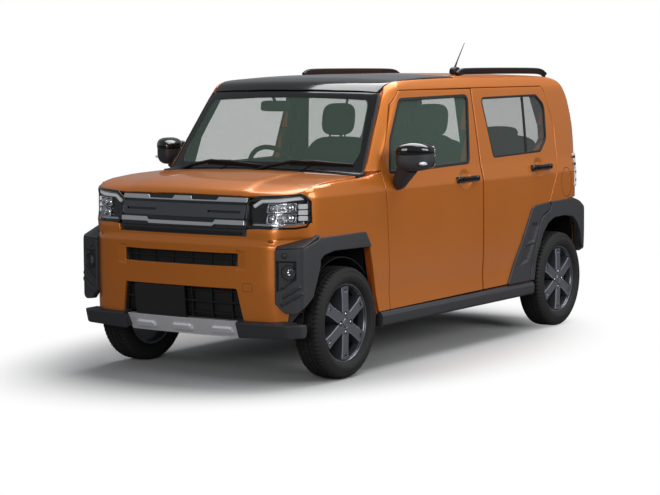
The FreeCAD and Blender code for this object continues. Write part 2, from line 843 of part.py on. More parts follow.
bumper_space = common("bumper_space", slab("bumper_room", "yz", side_points((
    (-0.800, 0.130),
    (-0.800, 0.520),
    (-1.050, 0.520),
    (-1.050, 0.130),
)), "-body_width / 2 * 0.930", "body_width / 2 * 0.930"),
    moved("bumper_inner", hull, y="bumper_wall", z="-bumper_wall / 2"))
front_shell = cut("front_shell", common("front_slab", hull, front_bumper_block), bumper_space,
                  front_arch, front_arch_right)
wide_shell = cut("wide_shell", common("wide_front_slab", square_hull, front_bumper_block), bumper_space,
                 front_arch)
pod = common("pod", wide_shell, pod_block)
guard = common("guard", wide_shell, guard_block)
piece("front_bumper", cut("bumper_shell", front_shell, pod_block, mirror("pod_block_right", pod_block),
                          guard_block, mirror("guard_block_right", guard_block), skid_block,
                          corner_room, mirror("corner_room_right", corner_room),
                          intake_high, intake_low))
piece("skid_plate", common("skid_slab", front_shell, skid_block))
cladding_left = group("cladding_left", pod, guard, front_flare, rear_flare, sill)
piece("cladding", group("cladding_pair", cladding_left, mirror("cladding_right", cladding_left)))

grille_block = slab("grille_block", "xz", both_sides([
    ("car_width / 2 * 0.560", "car_height * 0.500"),
    ("car_width / 2 * 0.590", "car_height * 0.623"),
]), nose_front, nose_back)
piece("grille", cut("grille_sheet", common("grille_slab", hull, grille_block), bay, bonnet_gap,
                    front_bumper_block))
lamp_block = slab("lamp_block", "xz", [
    ("car_width / 2 * 0.560 + skin_gap", "car_height * 0.500"),
    ("car_width / 2 * 1.050", "car_height * 0.500"),
    ("car_width / 2 * 1.050", "car_height * 0.623"),
    ("car_width / 2 * 0.590 + skin_gap", "car_height * 0.623"),
], nose_front, "-car_length / 2 * 0.875")
lamp = cut("lamp", common("lamp_slab", hull, lamp_block), bay, bonnet_gap, front_bumper_block)
piece("front_lamps", group("lamp_set", lamp, mirror("lamp_right", lamp)))

# Fenders and body sides

fender_block = slab("fender_block", "yz", side_points((
    (-0.990, 0.500),
    (-0.880, 0.500),
    (-0.860, 0.460),
    (-0.860, 0.146),
    (-0.461, 0.146),
    (-0.461, 0.190),
    (-0.452, 0.429),
    (-0.461, 0.563),
    (-0.474, 0.660),
    (-0.560, 0.668),
    (-0.990, 0.668),
)), "0", "car_width")
turning_room = rod("turning_room", ("liner_inner", front_axle, "tyre_diameter / 2"), "x",
                   "body_width / 2 - 2 * round_small - liner_inner", "tyre_diameter + 4 * round_small")
fender_space = long_space("fender_space", "bumper_wall")
fender = cut("fender", common("fender_slab", hull, fender_block), fender_space, front_arch,
             front_flare_block,
             front_bumper_block, sill_block, bonnet_gap, lamp_block, grille_block, front_door_gap,
             screen_block, cowl_block, turning_room)
piece("front_fenders", group("fender_pair", fender, mirror("fender_right", fender)))

side_block = slab("side_block", "yz", side_points((
    (-0.461, 0.190),
    (0.535, 0.192),
    (0.880, 0.300),
    (0.870, 0.480),
    (0.900, 0.492),
    (1.000, 0.500),
    (1.000, 1.000),
    (-0.400, 1.000),
    (-0.560, 0.668),
    (-0.474, 0.660),
    (-0.461, 0.563),
    (-0.452, 0.429),
)), "body_width / 2 * 0.700", "car_width")
door_room_front = cut("door_room_front", front_door_gap, seal_space)
door_room_rear = cut("door_room_rear", rear_door_gap, seal_space)
roof_ledge = moved("roof_ledge", hull, z="-roof_wall - skin_gap")
roof_band = box("roof_band", ("-" + roof_half, roof_half),
                ("-car_length / 2 * 0.388", "car_length / 2 * 0.830"),
                ("car_height * 0.900", "car_height + cut_margin"))
roof_room = cut("roof_room", roof_band, roof_ledge)
side_frame = cut("side_frame", common("side_slab", hull, side_block), tailgate_gap, roof_room,
                 screen_block, bonnet_gap, tail_lamp_block, rear_arch, rear_flare_block,
                 sill_block, frame_space, door_room_front, door_room_rear, front_doorway,
                 rear_doorway)
door_face = "body_width / 2 - door_wall - skin_gap"
flange_face = "body_width / 2 - door_wall - seal_gap"
strikers = []
for place, share in (("front", 0.150), ("rear", 0.575)):
    striker = box(place + "_striker", (flange_face, door_face),
                  ("car_length / 2 * %g - round_small" % share, "car_length / 2 * %g + round_small" % share),
                  ("car_height * 0.450", "car_height * 0.450 + 2 * round_small"))
    strikers.append(striker)
side_left = group("side_left", side_frame, *strikers)
piece("body_sides", group("side_pair", side_left, mirror("side_right", side_left)))

# Roof rails and antenna

rail_place = "car_width / 2 * 0.739"
rail_bar = rod("rail_bar", (rail_place, "car_length / 2 * 0.165", "car_height - rail_diameter / 2"),
               "y", "car_length / 2 * 0.660", "rail_diameter")
rail_feet = [box("rail_foot_%d" % number,
                 (rail_place + " - round_small", rail_place + " + round_small"),
                 ("car_length / 2 * %g" % share, "car_length / 2 * %g + 2 * round_large" % share),
                 ("car_height * 0.950", "car_height - rail_diameter / 2"))
             for number, share in enumerate((0.170, 0.770))]
rail = cut("rail_set", fuse("rail_whole", rail_bar, *rail_feet), hull)
piece("roof_rails", group("rail_pair", rail, mirror("rail_right", rail)))

# Floor, liners and running gear

tyre_radius = "tyre_diameter / 2"
floor_half = "body_width / 2 * 0.854"
floor_back = "car_length / 2 * 0.925"
step_place = "car_length / 2 * 0.283"
house_front = rear_axle + " - tyre_diameter / 2 - liner_gap"
house_top = "car_height * 0.454"


def house(side):
    """A rear wheelhouse and the room inside it."""
    out = ("house_place", floor_half) if side == "left" else ("-" + floor_half, "-house_place")
    room = (("house_place + liner_wall", "car_width") if side == "left"
            else ("-car_width", "-house_place - liner_wall"))
    shell = box("house_%s" % side, out, (house_front, floor_back),
                ("floor_height + rear_floor_rise", house_top))
    inside = box("house_room_%s" % side, room, (house_front + " + liner_wall", "car_length"),
                 ("0", house_top + " - liner_wall"))
    return shell, inside


floor_front = "-firewall_place + floor_wall"
front_plate = box("front_plate", ("-" + floor_half, floor_half), (floor_front, step_place),
                  ("floor_height", "floor_height + floor_wall"))
floor_step = box("floor_step", ("-" + floor_half, floor_half),
                 (step_place + " - floor_wall", step_place),
                 ("floor_height", "floor_height + rear_floor_rise + floor_wall"))
rear_plate = box("rear_plate", ("-" + floor_half, floor_half), (step_place, floor_back),
                 ("floor_height + rear_floor_rise", "floor_height + rear_floor_rise + floor_wall"))
piece("firewall", box("firewall_plate", ("-" + floor_half, floor_half), ("-firewall_place", floor_front),
                      ("floor_height", "car_height * 0.595")))
back_panel = box("back_panel", ("-" + floor_half, floor_half), (floor_back + " - floor_wall", floor_back),
                 ("floor_height + rear_floor_rise", "car_height * 0.405"))
tunnel = slab("tunnel", "xz", both_sides([
    ("body_width / 2 * 0.170", "floor_height"),
    ("body_width / 2 * 0.130", "floor_height + tunnel_rise"),
]), floor_front, step_place)
tunnel_room = slab("tunnel_room", "xz", both_sides([
    ("body_width / 2 * 0.170 - floor_wall", "floor_height - floor_wall"),
    ("body_width / 2 * 0.130 - floor_wall", "floor_height + tunnel_rise - floor_wall"),
]), floor_front, step_place + " - floor_wall")
pads = []
for number, (side, share) in enumerate((("", -0.400), ("-", -0.400), ("", 0.260), ("-", 0.260))):
    low = (side + "jack_place", "%s(jack_place + jack_width)" % side)
    pads.append(box("jacking_pad_%d" % number, low if not side else low[::-1],
                    ("car_length / 2 * %g" % share, "car_length / 2 * %g + jack_width" % share),
                    ("floor_height - round_small", "floor_height + skin_gap")))
house_left, room_left = house("left")
house_right, room_right = house("right")
tail_striker = box("tail_striker", ("-round_large", "round_large"),
                   (floor_back + " - floor_wall", "car_length / 2 * 0.930 - skin_gap"),
                   ("car_height * 0.400", "car_height * 0.440"))
floor = fuse("floor_whole", front_plate, floor_step, rear_plate, back_panel, tunnel, tail_striker, *pads)
piece("floor_pan", cut("floor_shell", floor, house_left, house_right, tunnel_room))
piece("wheelhouses", group("wheelhouse_pair", cut("wheelhouse_left", house_left, room_left),
                           cut("wheelhouse_right", house_right, room_right)))

# Front frame: rails, aprons, strut towers and the radiator support

rail_inner = "front_rail_place - front_rail_width"
front_rail = box("front_rail", (rail_inner, "front_rail_place"),
                 ("-car_length / 2 * 0.940", "-firewall_place - skin_gap"),
                 ("front_rail_height", "front_rail_height + front_rail_depth"))
apron = box("apron", ("front_rail_place - liner_wall", "front_rail_place"),
            ("-car_length / 2 * 0.900", "-firewall_place - skin_gap"),
            ("front_rail_height", "car_height * 0.560"))
tower_cap = box("tower_cap", (rail_inner, "body_width / 2 * 0.840"),
                (front_axle + " - tower_width / 2", front_axle + " + tower_width / 2"),
                ("car_height * 0.510", "car_height * 0.510 + floor_wall"))
strut = rod("strut", ("strut_place", front_axle, "tyre_diameter + skin_gap"), "z",
            "car_height * 0.510 - tyre_diameter", "strut_diameter")
damper = rod("damper", ("strut_place", front_axle, "tyre_diameter * 0.84"), "z",
             "tyre_diameter * 0.18", "strut_diameter / 2")
side_frame_front = fuse("side_frame_front", front_rail, apron, tower_cap, strut, damper)
cross_low = box("cross_low", ("-" + rail_inner, rail_inner),
                ("-car_length / 2 * 0.940", "-car_length / 2 * 0.940 + front_rail_width"),
                ("front_rail_height", "front_rail_height + front_rail_depth"))
cross_high = box("cross_high", ("-body_width / 2 * 0.860", "body_width / 2 * 0.860"),
                 ("-car_length / 2 * 0.900", "-car_length / 2 * 0.900 + front_rail_width"),
                 ("car_height * 0.560 - floor_wall", "car_height * 0.560"))
rests = []
for number, sign in enumerate(("", "-")):
    post = rod("bonnet_rest_%d" % number,
               (sign + "front_rail_place", "-car_length / 2 * 0.900 + front_rail_width / 2",
                "car_height * 0.560 - floor_wall"), "z", "car_height * 0.100", "2 * round_small")
    rests.append(common("bonnet_buffer_%d" % number, post,
                        moved("rest_cap_%d" % number, hull, y="bonnet_wall",
                              z="-bonnet_wall - skin_gap")))
piece("front_frame", fuse("front_frame_whole", side_frame_front,
                          mirror("side_frame_front_right", side_frame_front), cross_low, cross_high,
                          *rests))

liner_tube = rod("liner_tube", ("front_rail_place + skin_gap", front_axle, tyre_radius), "x",
                 "body_width / 2 * 0.930 - front_rail_place - 2 * skin_gap",
                 "tyre_diameter + 2 * liner_gap + 2 * liner_wall")
liner_room = rod("liner_room", ("front_rail_place", front_axle, tyre_radius), "x",
                 "body_width", "tyre_diameter + 2 * liner_gap")
liner_reach = box("liner_reach", ("0", "car_width"),
                  ("-car_length / 2 * 0.900", "-firewall_place - skin_gap"),
                  (tyre_radius, "car_height * 0.508"))
strut_hole = rod("strut_hole", ("strut_place", front_axle, tyre_radius), "z", "car_height / 2",
                 "strut_diameter + 2 * skin_gap")
liner = common("liner", cut("liner_shell", liner_tube, liner_room, strut_hole), liner_reach)
piece("wheel_liners", group("liner_pair", liner, mirror("liner_right", liner)))

# Engine, radiator, subframe and what hangs below the floor

subframe_top = "floor_height"
piece("engine_block", box("engine_case", ("-engine_width / 2", "engine_width / 2"),
                          ("-car_length / 2 * 0.825", "-firewall_place - 2 * round_large"),
                          (subframe_top + " + skin_gap", subframe_top + " + engine_height")))
piece("radiator", box("radiator_core", ("-car_width / 2 * 0.400", "car_width / 2 * 0.400"),
                      ("-car_length / 2 * 0.900", "-car_length / 2 * 0.900 + front_rail_width - skin_gap"),
                      ("car_height * 0.200", "car_height * 0.560 - floor_wall - skin_gap")))
cross_beam = box("cross_beam", ("-arm_root", "arm_root"),
                 (front_axle + " - beam_depth / 2", "-firewall_place - skin_gap"),
                 (subframe_top + " - beam_depth", subframe_top))
lower_arm = box("lower_arm", ("arm_root", "arm_reach"),
                (front_axle + " - arm_width / 2", front_axle + " + arm_width / 2"),
                (subframe_top + " - beam_depth", subframe_top + " - beam_depth / 2"))
piece("front_subframe", fuse("front_subframe_whole", cross_beam, lower_arm,
                             mirror("lower_arm_right", lower_arm)))
raised = "floor_height + rear_floor_rise - skin_gap"
piece("fuel_tank", box("tank_case", ("-tank_width / 2", "tank_width / 2"),
                       (step_place + " + 2 * round_small", step_place + " + tank_length"),
                       (raised + " - tank_depth", raised)))
pipe_place = "-pipe_spread"
pipe = rod("pipe", (pipe_place, "-firewall_place + round_large",
                    "floor_height - pipe_diameter / 2 - skin_gap"), "y",
           rear_axle + " + firewall_place", "pipe_diameter")
silencer = box("silencer", (pipe_place + " - round_large", "silencer_width - pipe_spread"),
               (rear_axle, floor_back + " - round_large"),
               ("floor_height - silencer_depth / 2", raised))
tail_pipe = rod("tail_pipe", (pipe_place, floor_back + " - 2 * round_large",
                              "floor_height - round_small"), "y",
                "4 * round_large", "pipe_diameter")
piece("exhaust", fuse("exhaust_whole", pipe, silencer, tail_pipe))

axle_beam = rod("axle_beam", ("-arm_spread", rear_axle + " - beam_setback",
                               raised + " - pipe_diameter / 2 - round_small"), "x",
                "2 * arm_spread", "pipe_diameter + 2 * round_small")
trailing = box("trailing", ("arm_spread - arm_width / 2", "arm_spread + arm_width / 2"),
               (house_front + " - arm_width", rear_axle + " + arm_width"),
               ("floor_height + round_small", raised))
spring = rod("spring", ("arm_spread", rear_axle + " - beam_setback / 2", raised), "z",
             house_top + " - liner_wall - floor_height - rear_floor_rise",
             "strut_diameter * 1.4")
rear_hub = rod("rear_hub", ("arm_spread", rear_axle, tyre_radius), "x",
               "rear_track / 2 - hub_setback - arm_spread", "hub_diameter * 0.6")
rear_spindle = rod("rear_spindle", ("arm_spread", rear_axle, tyre_radius), "x",
                   "rear_track / 2 + rim_width / 2 - 2 * rim_wall - arm_spread",
                   "centre_bore - 2 * bearing_gap")
axle_side = cut("axle_side", fuse("axle_side_whole", trailing, spring, rear_hub, rear_spindle),
                front_plate)
piece("rear_axle", fuse("rear_axle_whole", axle_beam, axle_side, mirror("axle_side_right", axle_side)))

# Knuckles that steer the front wheels


def knuckle(side):
    """Upright, lower ear and spindle of one front wheel."""
    hub_face = "front_track / 2 - hub_setback"
    upright = rod("upright_" + side, ("knuckle_place", front_axle, tyre_radius), "x",
                  "%s - knuckle_place" % hub_face, "hub_diameter")
    ear = box("knuckle_ear_" + side, ("knuckle_place", "%s" % hub_face),
              (front_axle + " - arm_width / 2", front_axle + " + arm_width / 2"),
              (subframe_top + " - beam_depth / 2 + skin_gap", tyre_radius))
    plate = box("knuckle_plate_" + side, ("knuckle_place - arm_width / 2", "knuckle_place"),
                (front_axle + " - arm_width / 2", front_axle + " + arm_width / 2"),
                (tyre_radius, "tyre_diameter * 0.82"))
    foot = box("knuckle_foot_" + side, ("knuckle_place - arm_width / 2", "knuckle_place + round_small"),
               (front_axle + " - arm_width / 2", front_axle + " + arm_width / 2"),
               (tyre_radius, tyre_radius + " + arm_width / 2"))
    spindle = rod("spindle_" + side, ("knuckle_place", front_axle, tyre_radius), "x",
                  "front_track / 2 + rim_width / 2 - 2 * rim_wall - knuckle_place",
                  "centre_bore - 2 * bearing_gap")
    whole = fuse("knuckle_whole_" + side, upright, ear, plate, foot, spindle)
    return whole if side == "left" else mirror("knuckle_mirror_" + side, whole)


piece("knuckle_left", knuckle("left"))
piece("knuckle_right", knuckle("right"))

# Cabin: dashboard with its column, steering wheel and seats

dash_back = "-firewall_place + floor_wall + skin_gap"
dashboard_block = slab("dashboard_block", "yz", [
    (dash_back, "car_height * 0.420"),
    (dash_back + " + dash_depth * 0.364", "car_height * 0.420"),
    (dash_back + " + dash_depth", "car_height * 0.500"),
    (dash_back + " + dash_depth", "car_height * 0.640"),
    (dash_back + " + dash_depth * 0.595", "car_height * 0.660"),
    (dash_back, "car_height * 0.650"),
], "-dashboard_width / 2", "dashboard_width / 2")
hub_y = "-wheel_setback"
hub_z = "wheel_height"
driver = "-seat_spread"


def aimed(thing, y, z):
    """Place a round part on the steering column's axis, at the driver's side."""
    bind(thing, ".Placement.Base.x", driver)
    bind(thing, ".Placement.Base.y", y)
    bind(thing, ".Placement.Base.z", z)
    return thing


def column_rod(name, start, length, diameter):
    """A cylinder along the steering axis; start is measured from the wheel's centre."""
    bar = doc.addObject("Part::Cylinder", name)
    bar.Placement = Placement(Vector(), Rotation(Vector(1, 0, 0), -90 + value("column_angle")))
    bind(bar, "Radius", "(%s) / 2" % diameter)
    bind(bar, "Height", length)
    return aimed(bar, "%s + (%s) * cos(column_angle)" % (hub_y, start),
                 "%s + (%s) * sin(column_angle)" % (hub_z, start))


column = column_rod("column", "-column_length", "column_length - hub_depth - skin_gap * 2",
                    "column_diameter")
piece("dashboard", fuse("dashboard_whole", dashboard_block, column))

wheel_hub = column_rod("wheel_hub", "-hub_depth", "hub_depth", "wheel_rim_diameter * 0.36")
wheel_ring = doc.addObject("Part::Torus", "wheel_ring")
wheel_ring.Placement = Placement(Vector(), Rotation(Vector(1, 0, 0), -90 + value("column_angle")))
bind(wheel_ring, "Radius1", "(wheel_rim_diameter - wheel_rim_depth) / 2")
bind(wheel_ring, "Radius2", "wheel_rim_depth / 2")
aimed(wheel_ring, hub_y, hub_z)
wheel_spoke = doc.addObject("Part::Box", "wheel_spoke")
wheel_spoke.Placement = Placement(Vector(), Rotation(Vector(1, 0, 0), -90 + value("column_angle")))
bind(wheel_spoke, "Length", "wheel_rim_diameter - wheel_rim_depth")
bind(wheel_spoke, "Width", "wheel_rim_depth * 1.5")
bind(wheel_spoke, "Height", "wheel_rim_depth / 2")
bind(wheel_spoke, ".Placement.Base.x", driver + " - (wheel_rim_diameter - wheel_rim_depth) / 2")
bind(wheel_spoke, ".Placement.Base.y", hub_y + " - wheel_rim_depth / 2")
bind(wheel_spoke, ".Placement.Base.z", hub_z + " + wheel_rim_depth / 2")
piece("steering_wheel", fuse("steering_wheel_whole", wheel_hub, wheel_ring, wheel_spoke))

seat_side = outline("seat_side", "yz", side_points((
    (-0.190, 0.300),
    (0.130, 0.290),
    (0.190, 0.340),
    (0.255, 0.740),
    (0.235, 0.760),
    (0.190, 0.740),
    (0.085, 0.400),
    (-0.190, 0.398),
    (-0.215, 0.370),
)))
seat_base = "floor_height + floor_wall + skin_gap"
seats = []
for side in ("left", "right"):
    sign = "" if side == "left" else "-"
    centre = sign + "seat_spread"
    body = extrude("seat_body_" + side, seat_side, "yz", centre + " - seat_width / 2",
                   centre + " + seat_width / 2")
    head = box("head_rest_" + side, (centre + " - seat_width / 4", centre + " + seat_width / 4"),
               ("car_length / 2 * 0.205", "car_length / 2 * 0.262"),
               ("car_height * 0.745", "car_height * 0.872"))
    base = box("seat_base_" + side, (centre + " - seat_width / 2 * 0.8", centre + " + seat_width / 2 * 0.8"),
               ("-car_length / 2 * 0.150", "car_length / 2 * 0.120"),
               (seat_base, "car_height * 0.310"))
    seats.append(fuse("seat_" + side, body, head, base))
bench_side = slab("bench_side", "yz", side_points((
    (0.300, 0.300),
    (0.520, 0.290),
    (0.545, 0.330),
    (0.615, 0.700),
    (0.565, 0.715),
    (0.500, 0.420),
    (0.290, 0.400),
)), "-house_place + liner_wall", "house_place - liner_wall")
bench_base = box("bench_base", ("-house_place / 2", "house_place / 2"),
                 ("car_length / 2 * 0.310", "car_length / 2 * 0.500"),
                 ("floor_height + rear_floor_rise + floor_wall + skin_gap", "car_height * 0.310"))
bench = fuse("bench", bench_side, bench_base)
piece("seats", group("seat_set", bench, *seats))

# Wipers and antenna

wiper_skin = cut("wiper_skin", moved("wiper_outer", hull, y="-round_small", z="round_small / 2"),
                 moved("wiper_inner", hull, y="-skin_gap", z="skin_gap"))
wipers = []
for number, (pivot, elbow, tip) in enumerate(((-0.805, -0.430, 0.030), (-0.126, 0.330, 0.800))):
    track = slab("wiper_track_%d" % number, "xz", [
        ("car_width / 2 * %g - round_small" % pivot, "car_height * 0.665"),
        ("car_width / 2 * %g + round_small" % pivot, "car_height * 0.657"),
        ("car_width / 2 * %g" % elbow, "car_height * 0.676"),
        ("car_width / 2 * %g" % tip, "car_height * 0.668"),
        ("car_width / 2 * %g" % tip, "car_height * 0.675"),
        ("car_width / 2 * %g" % elbow, "car_height * 0.685"),
    ], "-car_length / 2 * 0.583 + panel_gap", "-car_length / 2 * 0.500")
    wipers.append(common("wiper_%d" % number, wiper_skin, track))
piece("wipers", group("wiper_pair", *wipers))
mast_foot = box("mast_foot", ("mast_place - round_large / 2", "mast_place + round_large / 2"),
                ("car_length / 2 * 0.225", "car_length / 2 * 0.285"),
                ("car_height * 0.950", "car_height * 0.998"))
mast = doc.addObject("Part::Cylinder", "mast")
mast.Placement = Placement(Vector(), Rotation(Vector(1, 0, 0), -value("mast_angle")))
bind(mast, "Radius", "mast_diameter / 2")
bind(mast, "Height", "mast_length")
bind(mast, ".Placement.Base.x", "mast_place")
bind(mast, ".Placement.Base.y", "car_length / 2 * 0.240")
bind(mast, ".Placement.Base.z", "car_height * 0.990")
piece("antenna", cut("antenna_set", fuse("antenna_whole", mast_foot, mast), hull))

# Wheels

def wheel(place, side, axle, track):
    """Tyre and rim of one wheel, turned about the car's X axis."""
    out = 1 if side == "left" else -1
    centre = ("%d * %s / 2" % (out, track), axle, "tyre_diameter / 2")
    body = doc.addObject("PartDesign::Body", "tyre_%s_%s" % (place, side))
    sketch = body.newObject("Sketcher::SketchObject", "tyre_section_%s_%s" % (place, side))
    sketch.AttachmentSupport = [(origin_plane(body, "XY_Plane"), "")]
    sketch.MapMode = "FlatFace"
    draw(sketch, [
        ("-rim_width / 2", "rim_flange_diameter / 2 + skin_gap"),
        ("-rim_width / 2 + 3 * skin_gap", "rim_flange_diameter / 2 + skin_gap"),
        ("-rim_width / 2 + 3 * skin_gap", "bead_diameter / 2"),
        ("rim_width / 2 - 3 * skin_gap", "bead_diameter / 2"),
        ("rim_width / 2 - 3 * skin_gap", "rim_flange_diameter / 2 + skin_gap"),
        ("rim_width / 2", "rim_flange_diameter / 2 + skin_gap", "tyre_width * 0.04"),
        ("tyre_width / 2", "tyre_diameter / 2 * 0.84", "tyre_width * 0.02"),
        ("tyre_width / 2 * 0.90", "tyre_diameter / 2 * 0.96", "tyre_width * 0.02"),
        ("tyre_width / 2 * 0.72", "tyre_diameter / 2"),
        ("-tyre_width / 2 * 0.72", "tyre_diameter / 2", "tyre_width * 0.02"),
        ("-tyre_width / 2 * 0.90", "tyre_diameter / 2 * 0.96", "tyre_width * 0.02"),
        ("-tyre_width / 2", "tyre_diameter / 2 * 0.84", "tyre_width * 0.04"),
    ])
    turn = body.newObject("PartDesign::Revolution", "tyre_turn_%s_%s" % (place, side))
    turn.Profile = sketch
    turn.ReferenceAxis = (sketch, ["H_Axis"])
    turn.Angle = 360
    body.Tip = turn
    for axis, text in zip("xyz", centre):
        bind(body, ".Placement.Base." + axis, text)
    piece("tyre_%s_%s" % (place, side), body)

    rim = doc.addObject("PartDesign::Body", "rim_%s_%s" % (place, side))
    ring = rim.newObject("Sketcher::SketchObject", "rim_section_%s_%s" % (place, side))
    ring.AttachmentSupport = [(origin_plane(rim, "XY_Plane"), "")]
    ring.MapMode = "FlatFace"
    face = "rim_width / 2 - rim_wall"
    draw(ring, [
        ("-rim_width / 2", "bead_diameter / 2 - rim_wall"),
        ("rim_width / 2", "bead_diameter / 2 - rim_wall"),
        ("rim_width / 2", "rim_flange_diameter / 2"),
        ("rim_width / 2 - skin_gap * 2", "rim_flange_diameter / 2"),
        ("rim_width / 2 - skin_gap * 2", "bead_diameter / 2 - skin_gap"),
        ("-rim_width / 2", "bead_diameter / 2 - skin_gap"),
    ])
    barrel = rim.newObject("PartDesign::Revolution", "rim_turn_%s_%s" % (place, side))
    barrel.Profile = ring
    barrel.ReferenceAxis = (ring, ["H_Axis"])
    barrel.Angle = 360
    hub = rim.newObject("Sketcher::SketchObject", "hub_section_%s_%s" % (place, side))
    hub.AttachmentSupport = [(origin_plane(rim, "XY_Plane"), "")]
    hub.MapMode = "FlatFace"
    draw(hub, [
        ("-hub_setback + arm_gap / 3", "centre_bore / 2"),
        (face, "centre_bore / 2"),
        (face, "hub_diameter / 2"),
        (face + " - spoke_depth", "hub_diameter / 2"),
        ("arm_gap / 3 + disc_depth - hub_setback", "hub_diameter / 2"),
        ("arm_gap / 3 + disc_depth - hub_setback", "disc_diameter / 2"),
        ("arm_gap / 3 - hub_setback", "disc_diameter / 2"),
    ])
    boss = rim.newObject("PartDesign::Revolution", "hub_turn_%s_%s" % (place, side))
    boss.Profile = hub
    boss.ReferenceAxis = (hub, ["H_Axis"])
    boss.Angle = 360
    arm = rim.newObject("Sketcher::SketchObject", "spoke_section_%s_%s" % (place, side))
    arm.AttachmentSupport = [(origin_plane(rim, "YZ_Plane"), "")]
    arm.MapMode = "FlatFace"
    bind(arm, ".AttachmentOffset.Base.z", face + " - spoke_depth")
    draw(arm, [
        ("-spoke_width / 2", "hub_diameter / 2 - rim_wall"),
        ("spoke_width / 2", "hub_diameter / 2 - rim_wall"),
        ("spoke_width / 2", "bead_diameter / 2 - rim_wall / 2"),
        ("-spoke_width / 2", "bead_diameter / 2 - rim_wall / 2"),
    ])
    spoke = rim.newObject("PartDesign::Pad", "spoke_%s_%s" % (place, side))
    spoke.Profile = arm
    bind(spoke, "Length", "spoke_depth")
    pattern = rim.newObject("PartDesign::PolarPattern", "spokes_%s_%s" % (place, side))
    pattern.Originals = [spoke]
    pattern.Axis = (ring, ["H_Axis"])
    pattern.Angle = 360
    bind(pattern, "Occurrences", "spoke_count")
    rim.Tip = pattern
    for axis, text in zip("xyz", centre):
        bind(rim, ".Placement.Base." + axis, text)
    if out < 0:
        rim.Placement = Placement(rim.Placement.Base, Rotation(Vector(0, 0, 1), 180))
    piece("rim_%s_%s" % (place, side), rim)


def origin_plane(body, role):
    """One of a body's own origin planes."""
    return next(item for item in body.Origin.OriginFeatures if item.Role == role)


for place, axle, track in (("front", front_axle, "front_track"), ("rear", rear_axle, "rear_track")):
    for side in ("left", "right"):
        wheel(place, side, axle, track)

# Check every object, then write each sub-part

doc.recompute()
for thing in doc.Objects:
    if "Invalid" in thing.State or "Error" in thing.State:
        raise RuntimeError("%s failed: %s" % (thing.Name, thing.State))
for thing in pieces:
    shape = thing.Shape
    if shape.isNull() or not shape.isValid() or not shape.Solids:
        raise RuntimeError("%s has no valid shape" % thing.Label)
for thing in pieces:
    thing.Shape.exportStep(os.path.join("parts", thing.Label + ".step"))
    print(thing.Label, len(thing.Shape.Solids), round(thing.Shape.Volume / 1e6, 2))
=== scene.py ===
import math

import bmesh
import bpy
import numpy as np
from mathutils import Matrix, Vector
from mathutils.geometry import delaunay_2d_cdt


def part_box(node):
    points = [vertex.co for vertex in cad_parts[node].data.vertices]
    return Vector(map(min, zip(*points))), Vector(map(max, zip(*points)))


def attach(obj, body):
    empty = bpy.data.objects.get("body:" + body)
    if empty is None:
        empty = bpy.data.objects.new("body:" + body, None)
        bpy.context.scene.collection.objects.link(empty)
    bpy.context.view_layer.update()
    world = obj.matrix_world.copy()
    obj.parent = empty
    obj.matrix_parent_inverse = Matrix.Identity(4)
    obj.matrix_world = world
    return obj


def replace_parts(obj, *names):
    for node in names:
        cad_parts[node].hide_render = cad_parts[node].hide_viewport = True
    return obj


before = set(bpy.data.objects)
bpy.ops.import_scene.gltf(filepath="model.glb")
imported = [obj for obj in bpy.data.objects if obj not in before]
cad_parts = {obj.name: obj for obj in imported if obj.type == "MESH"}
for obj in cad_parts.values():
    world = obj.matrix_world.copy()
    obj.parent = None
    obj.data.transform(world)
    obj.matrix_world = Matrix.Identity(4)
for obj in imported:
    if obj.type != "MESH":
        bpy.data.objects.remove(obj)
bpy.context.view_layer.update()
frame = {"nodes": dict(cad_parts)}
nodes = frame["nodes"]

# Camera: the photograph is taken from the car's front left corner, at a standing
# person's eye height, with a long lens. The shift is the photograph's small offset.
eye = Vector((6.2398, -9.6274, 1.650))
yaw = math.radians(33.634)
pitch = math.radians(5.291)
roll = math.radians(-0.3226)
look = Vector((-math.sin(yaw) * math.cos(pitch), math.cos(yaw) * math.cos(pitch), -math.sin(pitch)))
level = Vector((math.cos(yaw), math.sin(yaw), 0))
upright = level.cross(look)
right = level * math.cos(roll) + upright * math.sin(roll)
camera = bpy.data.objects.new("camera", bpy.data.cameras.new("camera"))
bpy.context.scene.collection.objects.link(camera)
camera.matrix_world = Matrix.Translation(eye) @ Matrix((right, upright * math.cos(roll) - level
    * math.sin(roll), -look)).transposed().to_4x4()
camera.data.sensor_width = 36
camera.data.lens = 36 * 1931.68 / 660
camera.data.shift_x = -1.0 / 660
camera.data.shift_y = -3.55 / 660
camera.data.clip_end = 200
bpy.context.scene.camera = camera
bpy.context.scene.view_settings.view_transform = "Standard"


# Paint: an orange base coat with fine pearl flakes under clear lacquer, sprayed over primed
# steel. Its nodes, like those of every finish here, are written as expressions on wires.
class Wire:
    """One output socket of a node tree; adding or multiplying wires adds Math nodes."""

    def __init__(self, nodes, socket):
        self.nodes = nodes
        self.socket = socket

    def math(self, operation, other):
        return self.nodes.add("ShaderNodeMath", {"operation": operation}, {0: self, 1: other})

    def __add__(self, other):
        return self.math("ADD", other)

    def __mul__(self, other):
        return self.math("MULTIPLY", other)

    __radd__ = __add__
    __rmul__ = __mul__

    def step(self, low, high):
        """0 below low, 1 above high, smooth between."""
        return self.nodes.add("ShaderNodeMapRange", {"interpolation_type": "SMOOTHSTEP"},
            {0: self, 1: low, 2: high})


